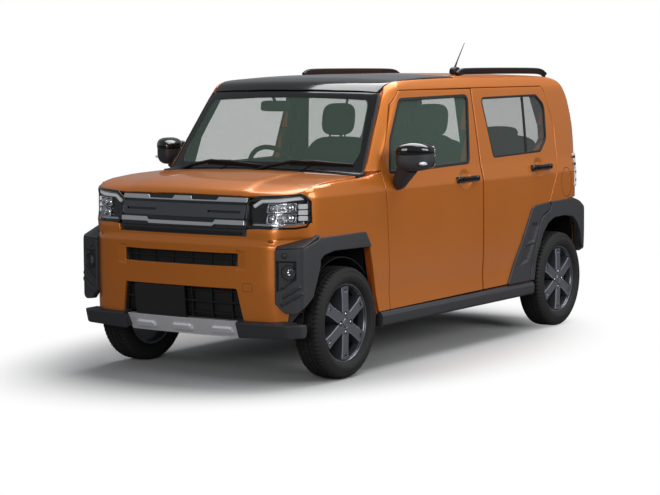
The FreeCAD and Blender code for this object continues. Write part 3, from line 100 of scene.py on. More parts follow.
class Nodes:
    """The node tree of a material or a world."""

    def __init__(self, owner):
        owner.use_nodes = True
        self.tree = owner.node_tree

    def add(self, kind, settings=(), inputs=(), output=0):
        """A node of a type: its settings first, then its sockets' values or links."""
        made = self.tree.nodes.new(kind)
        for word, choice in dict(settings).items():
            setattr(made, word, choice)
        for socket, item in dict(inputs).items():
            if isinstance(item, Wire):
                self.tree.links.new(item.socket, made.inputs[socket])
            else:
                made.inputs[socket].default_value = item
        return Wire(self, made.outputs[output])

    def link(self, wire, node, socket):
        self.tree.links.new(wire.socket, self.tree.nodes[node].inputs[socket])


class Finish(Nodes):
    """One material: a Principled shader and the nodes that feed it. wear makes the
    roughness uneven: a noise's scale, how far it swings, and the least value."""

    def __init__(self, name, slot, colour, rough, metal=0.0, wear=None, **constants):
        self.material = bpy.data.materials.new(name)
        self.slot = slot
        super().__init__(self.material)
        values = self.tree.nodes["Principled BSDF"].inputs
        values["Base Color"].default_value = tuple(colour) + (1.0,)
        values["Roughness"].default_value = rough
        values["Metallic"].default_value = metal
        for word, amount in constants.items():
            values[word.replace("_", " ").title().replace("Ior", "IOR")].default_value = amount
        self.place = self.add("ShaderNodeTexCoord", output="Object")
        if wear:
            scale, swing, least = wear
            self.feed("Roughness", self.noise(scale) * swing + least)

    def noise(self, scale, detail=2.0):
        return self.add("ShaderNodeTexNoise", {}, {"Vector": self.place, "Scale": scale, "Detail": detail})

    def mix(self, share, first, second):
        """A colour between two colours."""
        return self.add("ShaderNodeMix", {"data_type": "RGBA"},
            {0: share, 6: tuple(first) + (1.0,), 7: tuple(second) + (1.0,)}, 2)

    def feed(self, socket, wire):
        self.link(wire, "Principled BSDF", socket)

    def bump(self, height, depth, strength=1.0):
        self.feed("Normal", self.add("ShaderNodeBump", {},
            {"Height": height, "Distance": depth, "Strength": strength}))


def srgb(red, green, blue):
    """A screen colour as linear light."""
    return tuple(((c / 255 + 0.055) / 1.055) ** 2.4 if c > 10 else c / 255 / 12.92
        for c in (red, green, blue))


paint = Finish("pearl_orange", "orange_paint", srgb(208, 116, 34), 0.34, 0.44, coat_weight=0.65,
    coat_roughness=0.03)
flakes = paint.noise(2600.0, 1.0)
tone = paint.noise(1.6, 1.0)
paint.feed("Base Color", paint.mix(flakes * 0.55 + tone * 0.25, srgb(196, 100, 22), srgb(230, 142, 50)))
paint.feed("Roughness", flakes * 0.10 + 0.28)
paint.bump(flakes, 0.00002, 0.25)

# Painted body: pressed steel in one smooth form, from which every panel, pane and lamp is
# cut. A point is outside the form by the largest of its distances to the side section,
# the plan's corner planes and the side profile's faces, blended where they meet.
SIDE = ((0.238, 0.6960, 0.000), (0.310, 0.7210, 0.008), (0.329, 0.7207, 0.006), (0.424, 0.7160, 0.004),
    (0.564, 0.7250, 0.060), (0.813, 0.7240, 0.080), (0.975, 0.7220, 0.004), (1.065, 0.7000, 0.010),
    (1.271, 0.6700, 0.060), (1.511, 0.6330, 0.020), (1.591, 0.5800, 0.000))
CROWN_HALF = 0.7375
CORNERS = (((0.7375, -1.473), (0.575, -1.660)), ((0.590, 1.672), (0.7375, 1.494)))


def ramp(t, k):
    """Zero, then a rising line, with a bend k wide between."""
    return 0.5 * (t + np.sqrt(t * t + k * k))


def harder(a, b, k):
    """The larger of two distances, blended over k."""
    return b + ramp(a - b, k)


def softer(a, b, k):
    """The smaller of two distances, blended over k."""
    return a - ramp(a - b, k)


def half_width(z):
    """The body's half width at a height: straight runs with bends between."""
    heights, widths, bends = np.array(SIDE).T
    slopes = np.diff(widths) / np.diff(heights)
    x = widths[0] + slopes[0] * (z - heights[0])
    for at, turn, bend in zip(heights[1:-1], np.diff(slopes), bends[1:-1]):
        x = x + turn * ramp(z - at, bend)
    return x


def block(y, z, q, chain):
    """Distance outside a convex run of faces; a chain's point is (y, z, back, down, bend),
    where back and down are how far the next face bows in at the car's side and bend is
    how far each way the corner's rounding reaches."""
    worst = None
    last = 0
    for (y0, z0, back, down, bend), (y1, z1, *_) in zip(chain, chain[1:]):
        run = math.hypot(y1 - y0, z1 - z0)
        angle = math.atan2(z1 - z0, y1 - y0)
        face = ((y - y0 - back * q) * (z0 - z1) + (z - z0 + down * q) * (y1 - y0)) / run
        worst = face if worst is None else harder(worst, face, bend * abs(math.sin(angle - last)))
        last = angle
    return worst


NOSE = ((0.300, 0.745, 0, 0, 0), (-1.6800, 0.745, 0.050, 0, 0), (-1.6805, 0.802, 0.050, 0, 0.01),
    (-1.6500, 0.978, 0.045, 0.020, 0.020), (-1.6228, 1.014, 0.030, 0.020, 0.030),
    (-1.5006, 1.0514, 0, 0.020, 0.060), (-1.2392, 1.0709, 0, 0.020, 0.060), (-0.9608, 1.0774, 0, 0.020, 0),
    (0.300, 1.0774, 0, 0, 0), (0.300, 0.300, 0, 0, 0))
BUMPER = ((-1.6296, 0.2445, 0.060, 0, 0), (-1.6839, 0.334, 0.060, 0, 0.02),
    (-1.6975, 0.505, 0.060, 0, 0.02), (-1.6975, 0.735, 0.060, 0, 0.004), (-1.6620, 0.772, 0.060, 0, 0.01),
    (-1.000, 0.800, 0, 0, 0), (-1.000, 0.300, 0, 0, 0))
CABIN = ((-0.9608, 1.0774, 0.055, 0.000, 0), (-0.6705, 1.5012, 0.048, 0.017, 0.05),
    (-0.5992, 1.5599, 0, 0.025, 0.03), (-0.4753, 1.5827, 0, 0.027, 0.03), (-0.1358, 1.5974, 0, 0.027, 0.03),
    (0.3395, 1.6007, 0, 0.027, 0.03), (0.9336, 1.5974, 0, 0.027, 0.03), (1.3529, 1.5909, 0, 0.027, 0.03),
    (1.5023, 1.5713, -0.045, 0.017, 0.04), (1.5906, 1.4311, -0.060, 0, 0.06),
    (1.6347, 1.2584, -0.060, 0, 0.06), (1.6466, 1.0856, -0.060, 0, 0.06), (1.6432, 0.8802, -0.060, 0, 0.06),
    (1.6400, 0.3000, 0, 0, 0))
TAIL = ((1.000, 0.300, 0, 0, 0), (1.000, 0.806, 0, 0, 0), (1.6660, 0.800, -0.060, 0, 0.01),
    (1.6975, 0.7417, -0.060, 0, 0.012), (1.6975, 0.5542, -0.060, 0, 0.03),
    (1.6805, 0.3912, -0.060, 0, 0.03), (1.6126, 0.2478, 0, 0, 0))
PILLAR = (0.739, -0.480, 0.473, 1.436)


def outside(p):
    """How far points lie outside the painted form; inside is negative. The cabin's front
    corners are also cut by a plane along each screen pillar."""
    x = np.abs(p[..., 0])
    y = p[..., 1]
    z = p[..., 2]
    q = np.minimum((x / CROWN_HALF) ** 2, 1.2)
    form = softer(block(y, z, q, NOSE), block(y, z, q, BUMPER), 0.004)
    pillar = PILLAR[0] * x + PILLAR[1] * y + PILLAR[2] * z - PILLAR[3]
    form = softer(form, harder(block(y, z, q, CABIN), pillar, 0.016), 0.012)
    form = softer(form, block(y, z, q, TAIL), 0.004)
    form = harder(form, x - half_width(z), 0.012)
    for (x0, y0), (x1, y1) in CORNERS:
        run = math.hypot(x1 - x0, y1 - y0)
        form = harder(form, ((y - y0) * (x1 - x0) - (x - x0) * (y1 - y0)) / run, 0.03)
    return form


def facing(p, form=outside, step=0.0008):
    """Unit normals of a form, from its differences."""
    slope = np.stack([form(p + step * axis) - form(p - step * axis) for axis in np.eye(3)], -1)
    return slope / np.linalg.norm(slope, axis=-1, keepdims=True)


def reach(origin, direction, form=outside, far=1.2):
    """Where rays from inside leave a form, by halving."""
    low = np.zeros(len(origin))
    high = np.full(len(origin), far)
    for _ in range(34):
        middle = (low + high) / 2
        out = form(origin + middle[:, None] * direction) > 0
        high = np.where(out, middle, high)
        low = np.where(out, low, middle)
    return origin + low[:, None] * direction


def rounded(points, step=0.012):
    """A closed outline with filleted corners, cut into short runs; a point is (u, v) or
    (u, v, radius)."""
    base = [np.array(p[:2], float) for p in points]
    radii = [p[2] if len(p) > 2 else 0.006 for p in points]
    line = []
    for place, (corner, radius) in enumerate(zip(base, radii)):
        before = base[place - 1] - corner
        after = base[(place + 1) % len(base)] - corner
        long_before = np.linalg.norm(before)
        long_after = np.linalg.norm(after)
        half = math.acos(np.clip(before @ after / long_before / long_after, -1, 1)) / 2
        back = min(radius / max(math.tan(half), 1e-6), 0.45 * long_before, 0.45 * long_after)
        if back < 0.0004 or half > 1.55:
            line.append(corner)
            continue
        first = corner + before / long_before * back
        last = corner + after / long_after * back
        for t in np.linspace(0, 1, 6):
            line.append((1 - t) ** 2 * first + 2 * t * (1 - t) * corner + t * t * last)
    fine = []
    for place, point in enumerate(line):
        there = line[(place + 1) % len(line)]
        count = max(1, int(np.linalg.norm(there - point) / step))
        for t in np.arange(count) / count:
            fine.append(point + (there - point) * t)
    fine = np.array(fine)
    keep = np.linalg.norm(fine - np.roll(fine, 1, 0), axis=1) > 0.0003
    return fine[keep]


def area(loop):
    """Signed area: positive when the loop runs anticlockwise."""
    there = np.roll(loop, -1, 0)
    return 0.5 * np.sum(loop[:, 0] * there[:, 1] - loop[:, 1] * there[:, 0])


def shifted(loop, amount):
    """A loop moved to its own left."""
    ahead = np.roll(loop, -1, 0) - loop
    ahead /= np.linalg.norm(ahead, axis=1, keepdims=True)
    behind = np.roll(ahead, 1, 0)
    left = np.stack([-(ahead + behind)[:, 1], (ahead + behind)[:, 0]], -1)
    left /= np.maximum(np.linalg.norm(left, axis=1, keepdims=True), 1e-9)
    spread = np.clip(np.sum(left * np.stack([-ahead[:, 1], ahead[:, 0]], -1), -1), 0.5, 1)
    return loop + left * (amount / spread)[:, None]


def grown(points, amount):
    """An outline moved outwards by an amount."""
    loop = points if isinstance(points, np.ndarray) else rounded(points)
    return shifted(loop, -amount if area(loop) > 0 else amount)


def within(points, loops):
    """Whether points are inside an odd number of loops."""
    odd = np.zeros(len(points), bool)
    for loop in loops:
        there = np.roll(loop, -1, 0)
        for (u0, v0), (u1, v1) in zip(loop, there):
            if v0 == v1:
                continue
            spans = (v0 > points[:, 1]) != (v1 > points[:, 1])
            odd ^= spans & (points[:, 0] < (u1 - u0) * (points[:, 1] - v0) / (v1 - v0) + u0)
    return odd


def make_mesh(name, points, faces, normals=None):
    """A mesh object at the origin from arrays of points, faces and point normals."""
    mesh = bpy.data.meshes.new(name)
    corners = np.concatenate([f.ravel() for f in faces])
    counts = np.concatenate([np.full(len(f), f.shape[1]) for f in faces])
    mesh.vertices.add(len(points))
    mesh.vertices.foreach_set("co", np.asarray(points, np.float32).ravel())
    mesh.loops.add(len(corners))
    mesh.loops.foreach_set("vertex_index", corners.astype(np.int32))
    mesh.polygons.add(len(counts))
    mesh.polygons.foreach_set("loop_start", (np.cumsum(counts) - counts).astype(np.int32))
    mesh.update(calc_edges=True)
    mesh.polygons.foreach_set("use_smooth", np.ones(len(counts), bool))
    if normals is None:
        mesh.set_sharp_from_angle(angle=math.radians(35))
    else:
        mesh.normals_split_custom_set_from_vertices(normals)
    made = bpy.data.objects.new(name, mesh)
    bpy.context.scene.collection.objects.link(made)
    return made


def skin(way, rim, holes=(), pitch=0.018, rows=(), columns=(), turn=0.003, depth=0.014, lift=None, slim=0.0,
         marks=(), bands=(), form=outside):
    """A sheet of the form inside an outline: points, faces and normals. Its rim and its
    holes are rolled over by a radius of turn, and it is depth thick. lift moves it out
    along its normals and may be a function of (u, v). slim narrows the whole outline.
    marks are loops that the mesh follows, and bands are distances at which it follows
    its own rim."""
    loops = []
    for place, loop in enumerate([rim, *holes]):
        line = loop if isinstance(loop, np.ndarray) else rounded(loop)
        if (area(line) > 0) == (place > 0):
            line = line[::-1]
        loops.append(shifted(line, turn + slim))
    inner = [shifted(loops[0], band)[::2] for band in bands]
    inner = [p[within(p, loops)] for p in inner]
    tracks = [grown(mark, amount) for mark in marks for amount in (0.0012, -0.0012)]
    edge = np.concatenate(loops + tracks)
    low = edge.min(0)
    high = edge.max(0)
    us = np.arange(low[0] + pitch / 2, high[0], pitch)
    vs = np.arange(low[1] + pitch / 2, high[1], pitch)
    grids = [(us, vs)]
    for at, bend in rows:
        grids.append((us, at + np.array([-1.2, 0.0, 1.2]) * bend))
    for at, bend in columns:
        grids.append((at + np.array([-1.2, 0.0, 1.2]) * bend, vs))
    cloud = np.concatenate([np.stack(np.meshgrid(a, b), -1).reshape(-1, 2) for a, b in grids])
    cloud = cloud[within(cloud, loops)]
    near = np.full(len(cloud), 9.0)
    for start in range(0, len(edge), 400):
        away = cloud[:, None] - edge[None, start:start + 400]
        near = np.minimum(near, np.sqrt((away ** 2).sum(-1)).min(1))
    cloud = cloud[near > (0.35 * pitch if not bands else max(bands) + 0.3 * pitch)]
    flat = np.concatenate([edge, *inner, cloud])
    edges = []
    start = 0
    for loop in loops + tracks:
        ring = np.arange(len(loop)) + start
        edges += list(zip(ring.tolist(), np.roll(ring, -1).tolist()))
        start += len(loop)
    out = delaunay_2d_cdt([Vector(p) for p in flat], edges, [], 0, 1e-7)
    flat = np.array([tuple(p) for p in out[0]])
    where = {}
    for number, sources in enumerate(out[3]):
        for source in sources:
            where[source] = number
    faces = np.array([f for f in out[2] if len(f) == 3])
    faces = faces[within(flat[faces].mean(1), loops)]
    origin, direction = way(flat[:, 0], flat[:, 1])
    top = reach(origin, direction, form)
    normal = facing(top, form)
    base = normal
    if lift is not None:
        rise = lift(flat[:, 0], flat[:, 1]) if callable(lift) else lift
        top = top + normal * np.reshape(rise, (-1, 1))
        if callable(lift):
            normal = tilted(way, flat, lift, normal, form)
    a, b, c = (top[faces[:, i]] for i in range(3))
    hand = 1 if np.sum(np.cross(b - a, c - a) * normal[faces[:, 0]]) > 0 else -1
    if hand < 0:
        faces = faces[:, ::-1]
    points = [top, top - base * depth]
    normals = [normal, -normal]
    count = len(top)
    total = 2 * count
    quads = [faces, faces[:, ::-1] + count]
    start = 0
    for loop in loops:
        ring = np.array([where[start + i] for i in range(len(loop))])
        start += len(loop)
        along = top[np.roll(ring, -1)] - top[np.roll(ring, 1)]
        away = np.cross(along, normal[ring]) * hand
        away /= np.maximum(np.linalg.norm(away, axis=1, keepdims=True), 1e-9)
        strips = [ring]
        for angle in (math.pi / 6, math.pi / 3, math.pi / 2):
            strips.append(np.arange(len(ring)) + total)
            points.append(top[ring] + turn * math.sin(angle) * away - turn * (1 - math.cos(angle))
                * normal[ring])
            normals.append(math.cos(angle) * normal[ring] + math.sin(angle) * away)
            total += len(ring)
        strips.append(np.arange(len(ring)) + total)
        points.append(top[ring] + turn * away - depth * normal[ring])
        normals.append(away)
        total += len(ring)
        strips.append(ring + count)
        for first, second in zip(strips, strips[1:]):
            quad = np.stack([first, second, np.roll(second, -1), np.roll(first, -1)], -1)
            quads.append(quad if hand > 0 else quad[:, ::-1])
    return np.concatenate(points), quads, np.concatenate(normals)


def tilted(way, flat, lift, normal, form, step=0.0006):
    """Normals of a lifted sheet, from its two tangents."""
    sides = []
    for shift in ((step, 0), (0, step)):
        ends = []
        for sign in (-1, 1):
            u = flat[:, 0] + sign * shift[0]
            v = flat[:, 1] + sign * shift[1]
            origin, direction = way(u, v)
            place = reach(origin, direction, form)
            ends.append(place + facing(place, form) * np.reshape(lift(u, v), (-1, 1)))
        sides.append(ends[1] - ends[0])
    new = np.cross(sides[0], sides[1])
    new /= np.maximum(np.linalg.norm(new, axis=1, keepdims=True), 1e-12)
    return new * np.sign(np.sum(new * normal, axis=1, keepdims=True))


# Bonnet: one steel pressing between the fenders, with a raised middle that two creases
# bound. It is hinged at its back edge, and its front edge turns down over the grille.
inner_steel = Finish("painted_inner_steel", "orange_paint", srgb(176, 84, 30), 0.45, 0.2,
    wear=(60.0, 0.2, 0.35))
dark_trim = Finish("grained_dark_trim", "orange_paint", srgb(46, 46, 49), 0.62)
dark_trim.bump(dark_trim.noise(900.0, 3.0), 0.0002, 0.4)
GAP = 0.0025
bonnet_back = -0.9896
NOSE_TURN = (-1.45, 0.80, 0.25)


def over_nose(u, v):
    """u across, v along the car; ahead of the turn the rays fan forwards."""
    y0, z0, radius = NOSE_TURN
    angle = np.maximum(0, (y0 - v) / radius)
    zero = np.zeros_like(u)
    return (np.stack([u, np.maximum(v, y0), zero + z0], -1),
        np.stack([zero, -np.sin(angle), np.cos(angle)], -1))


def nose_v(y, z):
    """The v of over_nose at a point ahead of the turn."""
    y0, z0, radius = NOSE_TURN
    return y0 - radius * math.atan2(y0 - y, z - z0)


def both_ways(points):
    """An outline's half, closed with its mirror image; a point on the middle line is once."""
    return list(points) + [(-p[0],) + tuple(p[1:]) for p in reversed(points) if p[0]]


bonnet_rim = both_ways([(0.658, bonnet_back), (0.677, -1.10), (0.680, nose_v(-1.511, 1.040)),
    (0.640, nose_v(-1.585, 1.020), 0.02), (0.560, nose_v(-1.618, 1.008)), (0.400, nose_v(-1.640, 0.998)),
    (0.200, nose_v(-1.649, 0.996))])


def bonnet_bulge(u, v):
    """A plateau in the middle, narrowing towards the back, that falls away before the back edge and near
    the nose.
    """
    size = np.abs(u)
    middle = 1 / (1 + np.exp((size - 0.36 + 0.10 * (v + 1.3)) / 0.012))
    fades = 1 / (1 + np.exp((v + 1.075) / 0.02)) / (1 + np.exp(-(v + 1.62) / 0.03))
    return 0.007 * middle * fades


def carried(made, finishes, body, stands_for=None, slot=None):
    """Give a piece its finishes and the body that it moves with. slot is not used."""
    finishes = finishes if isinstance(finishes, list) else [finishes]
    made.data.materials.clear()
    for item in finishes:
        made.data.materials.append(item.material)
    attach(made, body)
    if stands_for:
        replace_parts(made, stands_for)
    return made


def fit(name, part, finishes, body="root", **rest):
    """Put a mesh into the scene on its body."""
    return carried(make_mesh(name, *part), finishes, body, **rest)


def core(name, node, finishes, body="root", depth=0.010, deep=0.028):
    """The pressed inner parts of a panel: a merged copy of its solid, drawn in under the
    outer sheet. The second finish goes to the faces that look into the cabin."""
    mesh = nodes[node].data
    points = np.zeros(len(mesh.vertices) * 3, np.float32)
    mesh.vertices.foreach_get("co", points)
    points = points.reshape(-1, 3).astype(float)
    mesh.calc_loop_triangles()
    corners = np.zeros(len(mesh.loop_triangles) * 3, np.int32)
    mesh.loop_triangles.foreach_get("vertices", corners)
    keys, back = np.unique(np.round(points, 5), axis=0, return_inverse=True)
    faces = back.reshape(-1)[corners].reshape(-1, 3)
    faces = faces[(faces != np.roll(faces, 1, 1)).all(1)]
    for _ in range(2):
        over = np.maximum(0, outside(keys) + depth)
        keys = keys - facing(keys) * over[:, None]
    made = carried(make_mesh(name, keys, [faces]), finishes, body, node)
    made.data.polygons.foreach_set("use_smooth", np.zeros(len(faces), bool))
    if len(finishes) > 1:
        inward = outside(keys[faces].mean(1)) < -deep
        made.data.polygons.foreach_set("material_index", inward.astype(np.int32))


fit("bonnet_outer", skin(over_nose, bonnet_rim, slim=GAP, lift=bonnet_bulge, pitch=0.016,
    columns=((0.36, 0.012), (-0.36, 0.012))), paint, "bonnet")
core("bonnet_inner", "bonnet_panel", [inner_steel], "bonnet")

# Front fenders: pressed steel wings bolted between bonnet, door and bumper. The arch edge
# behind the wheel is rolled, and the arch band covers the edge above it.
def from_side(u, v):
    """u along the car, v up; rays to the car's left."""
    zero = np.zeros_like(u)
    return np.stack([zero, u, v], -1), np.stack([zero + 1, zero, zero], -1)


def reflected(part):
    """The same mesh on the car's other side."""
    points, faces, normals = part
    flip = np.array([-1.0, 1.0, 1.0])
    return points * flip, [f[:, ::-1] for f in faces], None if normals is None else normals * flip


def pair(name, part, finish, bodies="root", **rest):
    """A left piece and its mirror image on the right."""
    for side, mesh in (("left", part), ("right", reflected(part))):
        body = bodies if bodies == "root" else "%s_%s" % (bodies, side)
        fit("%s_%s" % (name, side), mesh, finish, body, **rest)


fender_rim = [(-0.8046, 1.0758), (-0.7825, 0.9177), (-0.767, 0.699), (-0.747, 0.320), (-0.857, 0.318),
    (-0.868, 0.332), (-0.960, 0.690), (-1.020, 0.742), (-1.462, 0.742), (-1.464, 0.775), (-1.486, 0.850),
    (-1.490, 0.962, 0.02), (-1.545, 1.0145, 0.01), (-1.520, 1.0335), (-1.30, 1.0445), (-0.985, 1.0575)]
fender = skin(from_side, fender_rim, slim=GAP, rows=((0.975, 0.004), (0.424, 0.004)))
pair("fender_outer", fender, paint)
core("fender_inner", "front_fenders", [inner_steel], depth=0.014)

# Front doors: a pressed steel skin hemmed over its frame, with the window cut high in it
# and a hollow behind the handle. Two creases run along the whole side.
front_rim = [(-0.747, 0.3195), (0.2852, 0.326), (0.2852, 1.5094), (-0.509, 1.5094, 0.03),
    (-0.6077, 1.4328, 0.05), (-0.8046, 1.0758, 0.01), (-0.7825, 0.9177, 0.2), (-0.767, 0.699, 0.3)]
front_window = [(-0.713, 1.071, 0.012), (0.154, 1.087, 0.03), (0.234, 1.464, 0.03), (-0.517, 1.454, 0.04),
    (-0.667, 1.239, 0.1)]
crease_rows = ((0.975, 0.004), (0.424, 0.004), (0.325, 0.006))


def dish(u0, v0, half_u=0.066, half_v=0.052, deep=0.0092):
    """A smooth hollow in the skin behind a door handle, and loops for the mesh to follow."""
    def lift(u, v):
        far = np.sqrt(((u - u0) / half_u) ** 2 + ((v - v0) / half_v) ** 2)
        return -deep * np.clip(1.18 - far, 0, 0.55) / 0.55 * np.clip((1.18 - far) * 3, 0, 1)
    turns = np.arange(40) * math.pi / 20
    loops = [np.stack([u0 + half_u * size * np.cos(turns), v0 + half_v * size * np.sin(turns)], -1)
        for size in (1.16, 0.98, 0.80, 0.62, 0.35)]
    return dict(lift=lift, marks=loops)


front_skin = skin(from_side, front_rim, [front_window], slim=GAP, rows=crease_rows, **dish(0.085, 0.992))
pair("door_front_outer", front_skin, paint, "door_front")

# Rear doors: the same make, cut round the wheel arch, whose band covers the lower back
# corner. The inner panels of all four doors are trimmed towards the cabin.
rear_rim = [(0.2937, 0.326), (0.600, 0.327), (0.884, 0.735), (0.960, 0.760), (1.118, 0.765),
    (1.129, 0.794, 0.03), (1.2137, 0.9356, 0.2), (1.2663, 1.0725, 0.3), (1.2816, 1.268, 0.3),
    (1.210, 1.4866, 0.08), (1.180, 1.5126, 0.02), (0.2937, 1.5126)]
rear_window = [(0.461, 1.104, 0.02), (1.059, 1.115, 0.05), (1.152, 1.188, 0.06), (1.182, 1.396, 0.06),
    (1.092, 1.455, 0.03), (0.398, 1.448, 0.03)]
rear_skin = skin(from_side, rear_rim, [rear_window], slim=GAP, rows=crease_rows, **dish(1.008, 1.018))
pair("door_rear_outer", rear_skin, paint, "door_rear")
for side in ("left", "right"):
    for place in ("front", "rear"):
        core("door_%s_inner_%s" % (place, side), "door_%s_%s_panel" % (place, side),
            [inner_steel, dark_trim], "door_%s_%s" % (place, side))

# Body sides: the pillar beside the screen, the roof's edge and the rear quarter in one
# steel pressing, open where the doors close and welded over inner panels.
RAIL_TURN = (0.45, 1.45, 0.15)


def rise(x, z):
    """The v of over_rail at a point of the section."""
    x0, z0, radius = RAIL_TURN
    return z if z <= z0 else z0 + radius * math.atan2(z - z0, x - x0)


def over_rail(u, v):
    """u along the car, v up its left side; above the turn the rays fan up to the roof."""
    x0, z0, radius = RAIL_TURN
    angle = np.maximum(0, (v - z0) / radius)
    zero = np.zeros_like(u)
    return (np.stack([zero + np.where(v > z0, x0, 0.0), u, np.minimum(v, z0)], -1),
        np.stack([np.cos(angle), zero, np.sin(angle)], -1))


frame_rim = [(-0.800, 1.079), (-0.916, 1.0765, 0.004), (-0.870, 1.129), (-0.771, 1.273), (-0.688, 1.388),
    (-0.627, rise(0.584, 1.472)), (-0.581, rise(0.572, 1.531), 0.02), (-0.535, rise(0.578, 1.552), 0.02),
    (-0.470, rise(0.589, 1.5657), 0.1), (0.190, rise(0.589, 1.5826)), (1.353, rise(0.589, 1.5737), 0.1),
    (1.445, rise(0.589, 1.560), 0.05), (1.536, 1.431, 0.05), (1.579, 1.258), (1.596, 1.088),
    (1.540, 1.086, 0.004), (1.525, 0.870, 0.004), (1.590, 0.866), (1.590, 0.806), (1.40, 0.800),
    (1.118, 0.760), (1.129, 0.794, 0.03), (1.2137, 0.9356, 0.2), (1.2663, 1.0725, 0.3),
    (1.2816, 1.268, 0.3), (1.210, rise(0.637, 1.4866), 0.08), (1.180, rise(0.632, 1.5126), 0.02),
    (0.2895, rise(0.632, 1.5126)), (-0.509, rise(0.633, 1.5094), 0.03), (-0.6077, 1.4328, 0.05)]
side_frame = skin(over_rail, frame_rim, slim=GAP, rows=((0.975, 0.004),), pitch=0.015,
    bands=(0.003, 0.007, 0.012))
pair("body_side_outer", side_frame, paint)
core("body_side_inner", "body_sides", [inner_steel, dark_trim], depth=0.012)

# Roof: a pressed steel panel behind the black glass one, welded between the body sides
# along two narrow gaps. Its lining faces the cabin.
roof_half = 0.586


def upward(height):
    """u across the car, v along it; rays up from a height inside."""
    def way(u, v):
        zero = np.zeros_like(u)
        return np.stack([u, v, zero + height], -1), np.stack([zero, zero, zero + 1], -1)
    return way


from_top = upward(1.25)
roof_rim = [(roof_half, 0.1795), (roof_half, 1.395), (0.56, 1.432, 0.03), (0.30, 1.452), (-0.30, 1.452),
    (-0.56, 1.432, 0.03), (-roof_half, 1.395), (-roof_half, 0.1795)]
fit("roof_outer", skin(from_top, roof_rim, slim=GAP / 2), paint)
core("roof_inner", "roof_panel", [inner_steel, dark_trim], deep=0.024)

# Front bumper: one painted moulding that wraps both corners, with the upper intake cut
# through it and the lower one open below. It is clipped to the fenders.
GIRTH = (0.45, 1.33, 0.34)


def girdle(end):
    """Round one end of the car: u is x across the end, then turns with the corner and runs
    along the side; v is the height. end is -1 at the front and 1 at the back."""
    x0, y0, radius = GIRTH

    def way(u, v):
        size = np.abs(u)
        angle = np.clip((size - x0) / radius, 0, math.pi / 2)
        beyond = np.maximum(0, size - x0 - radius * math.pi / 2)
        side = np.sign(u)
        origin = np.stack([side * np.minimum(size, x0), end * (y0 - beyond), v], -1)
        return origin, np.stack([side * np.sin(angle), end * np.cos(angle), np.zeros_like(u)], -1)

    return way


def girth(x, y):
    """The u of a girdle at a plan point; y is counted towards the end."""
    x0, y0, radius = GIRTH
    if x <= x0:
        return x
    if y < y0:
        return x0 + radius * math.pi / 2 + y0 - y
    return x0 + radius * math.atan2(x - x0, y - y0)


round_front = girdle(-1)
round_back = girdle(1)
bumper_rim = both_ways([(0.366, 0.505, 0.012), (0.398, 0.336), (girth(0.640, 1.61), 0.338),
    (girth(0.652, 1.61), 0.400), (girth(0.625, 1.64), 0.450), (girth(0.625, 1.65), 0.690),
    (girth(0.7190, 1.4640), 0.700), (girth(0.7190, 1.4640), 0.780), (girth(0.717, 1.4830), 0.846),
    (0.420, 0.815), (0.417, 0.778)])
upper_intake = [(0.370, 0.622, 0.006), (0.370, 0.687, 0.006), (-0.370, 0.687, 0.006),
    (-0.370, 0.622, 0.006)]


def funnel(u, v):
    """The bumper dips towards both ends of the upper opening."""
    size = np.abs(u)
    along = np.clip((0.424 - size) / 0.054, 0, 1)
    band = np.clip((v - 0.604) / 0.006, 0, 1) * np.clip((0.705 - v) / 0.006, 0, 1)
    return -0.0085 * along * band * (size > 0.3)


flares = [[(s * 0.376, 0.607 + t), (s * 0.376, 0.702 - t), (s * 0.424, 0.702 - t), (s * 0.424, 0.607 + t)]
    for s in (-1, 1) for t in (-0.0025, 0.0025)]
bumper_skin = skin(round_front, bumper_rim, [upper_intake], slim=0.001, pitch=0.014,
    rows=((0.735, 0.004), (0.772, 0.005)), marks=flares, lift=funnel)
fit("front_bumper_outer", bumper_skin, paint)
core("front_bumper_inner", "front_bumper", [dark_trim], depth=0.016)

# Tailgate and rear bumper: the tailgate is a steel skin hemmed over its frame and hung from
# the roof's edge; the bumper below it is a painted moulding that wraps both corners.
tail_rim = both_ways([(0.556, 0.688), (0.606, 0.872), (0.616, 1.086), (0.598, 1.258), (0.572, 1.431),
    (0.552, 1.545, 0.03)])
tail_window = [(0.508, 1.125, 0.04), (0.470, 1.467, 0.04), (-0.470, 1.467, 0.04), (-0.508, 1.125, 0.04)]
fit("tailgate_outer", skin(round_back, tail_rim, [tail_window], slim=GAP), paint, "tailgate")
core("tailgate_inner", "tailgate_panel", [inner_steel, dark_trim], "tailgate")
back_corner = girth(0.665, 1.590)
back_bumper_rim = both_ways([(0.556, 0.684), (0.606, 0.800), (back_corner, 0.802), (back_corner, 0.480),
    (back_corner, 0.330), (0.45, 0.300)])
fit("rear_bumper_outer", skin(round_back, back_bumper_rim, slim=0.001, rows=((0.742, 0.01),)), paint)
core("rear_bumper_inner", "rear_bumper", [dark_trim], depth=0.016)

# Glass: laminated in the windscreen and tempered in the doors, bonded or run in black
# seals. The front panes have a green tint and the rear ones are dark.
pane = Finish("green_tint_glass", "green_glass", srgb(106, 130, 116), 0.02, alpha=0.22, coat_weight=1.0,
    coat_roughness=0.0, wear=(3.0, 0.02, 0.01))
dark_pane = Finish("privacy_glass", "dark_glass", srgb(96, 102, 99), 0.02, alpha=0.26, coat_weight=1.0,
    coat_roughness=0.0, wear=(3.0, 0.02, 0.01))
gloss = Finish("black_gloss_trim", "black_gloss", srgb(14, 14, 15), 0.12, coat_weight=0.6,
    coat_roughness=0.05, wear=(5.0, 0.04, 0.08))
rubber_seal = Finish("rubber_seal", "black_plastic", srgb(20, 20, 21), 0.55)
rubber_seal.bump(rubber_seal.noise(700.0), 0.0002, 0.4)
SCREEN_DIP = math.atan2(1.5012 - 1.0774, 0.9608 - 0.6705)


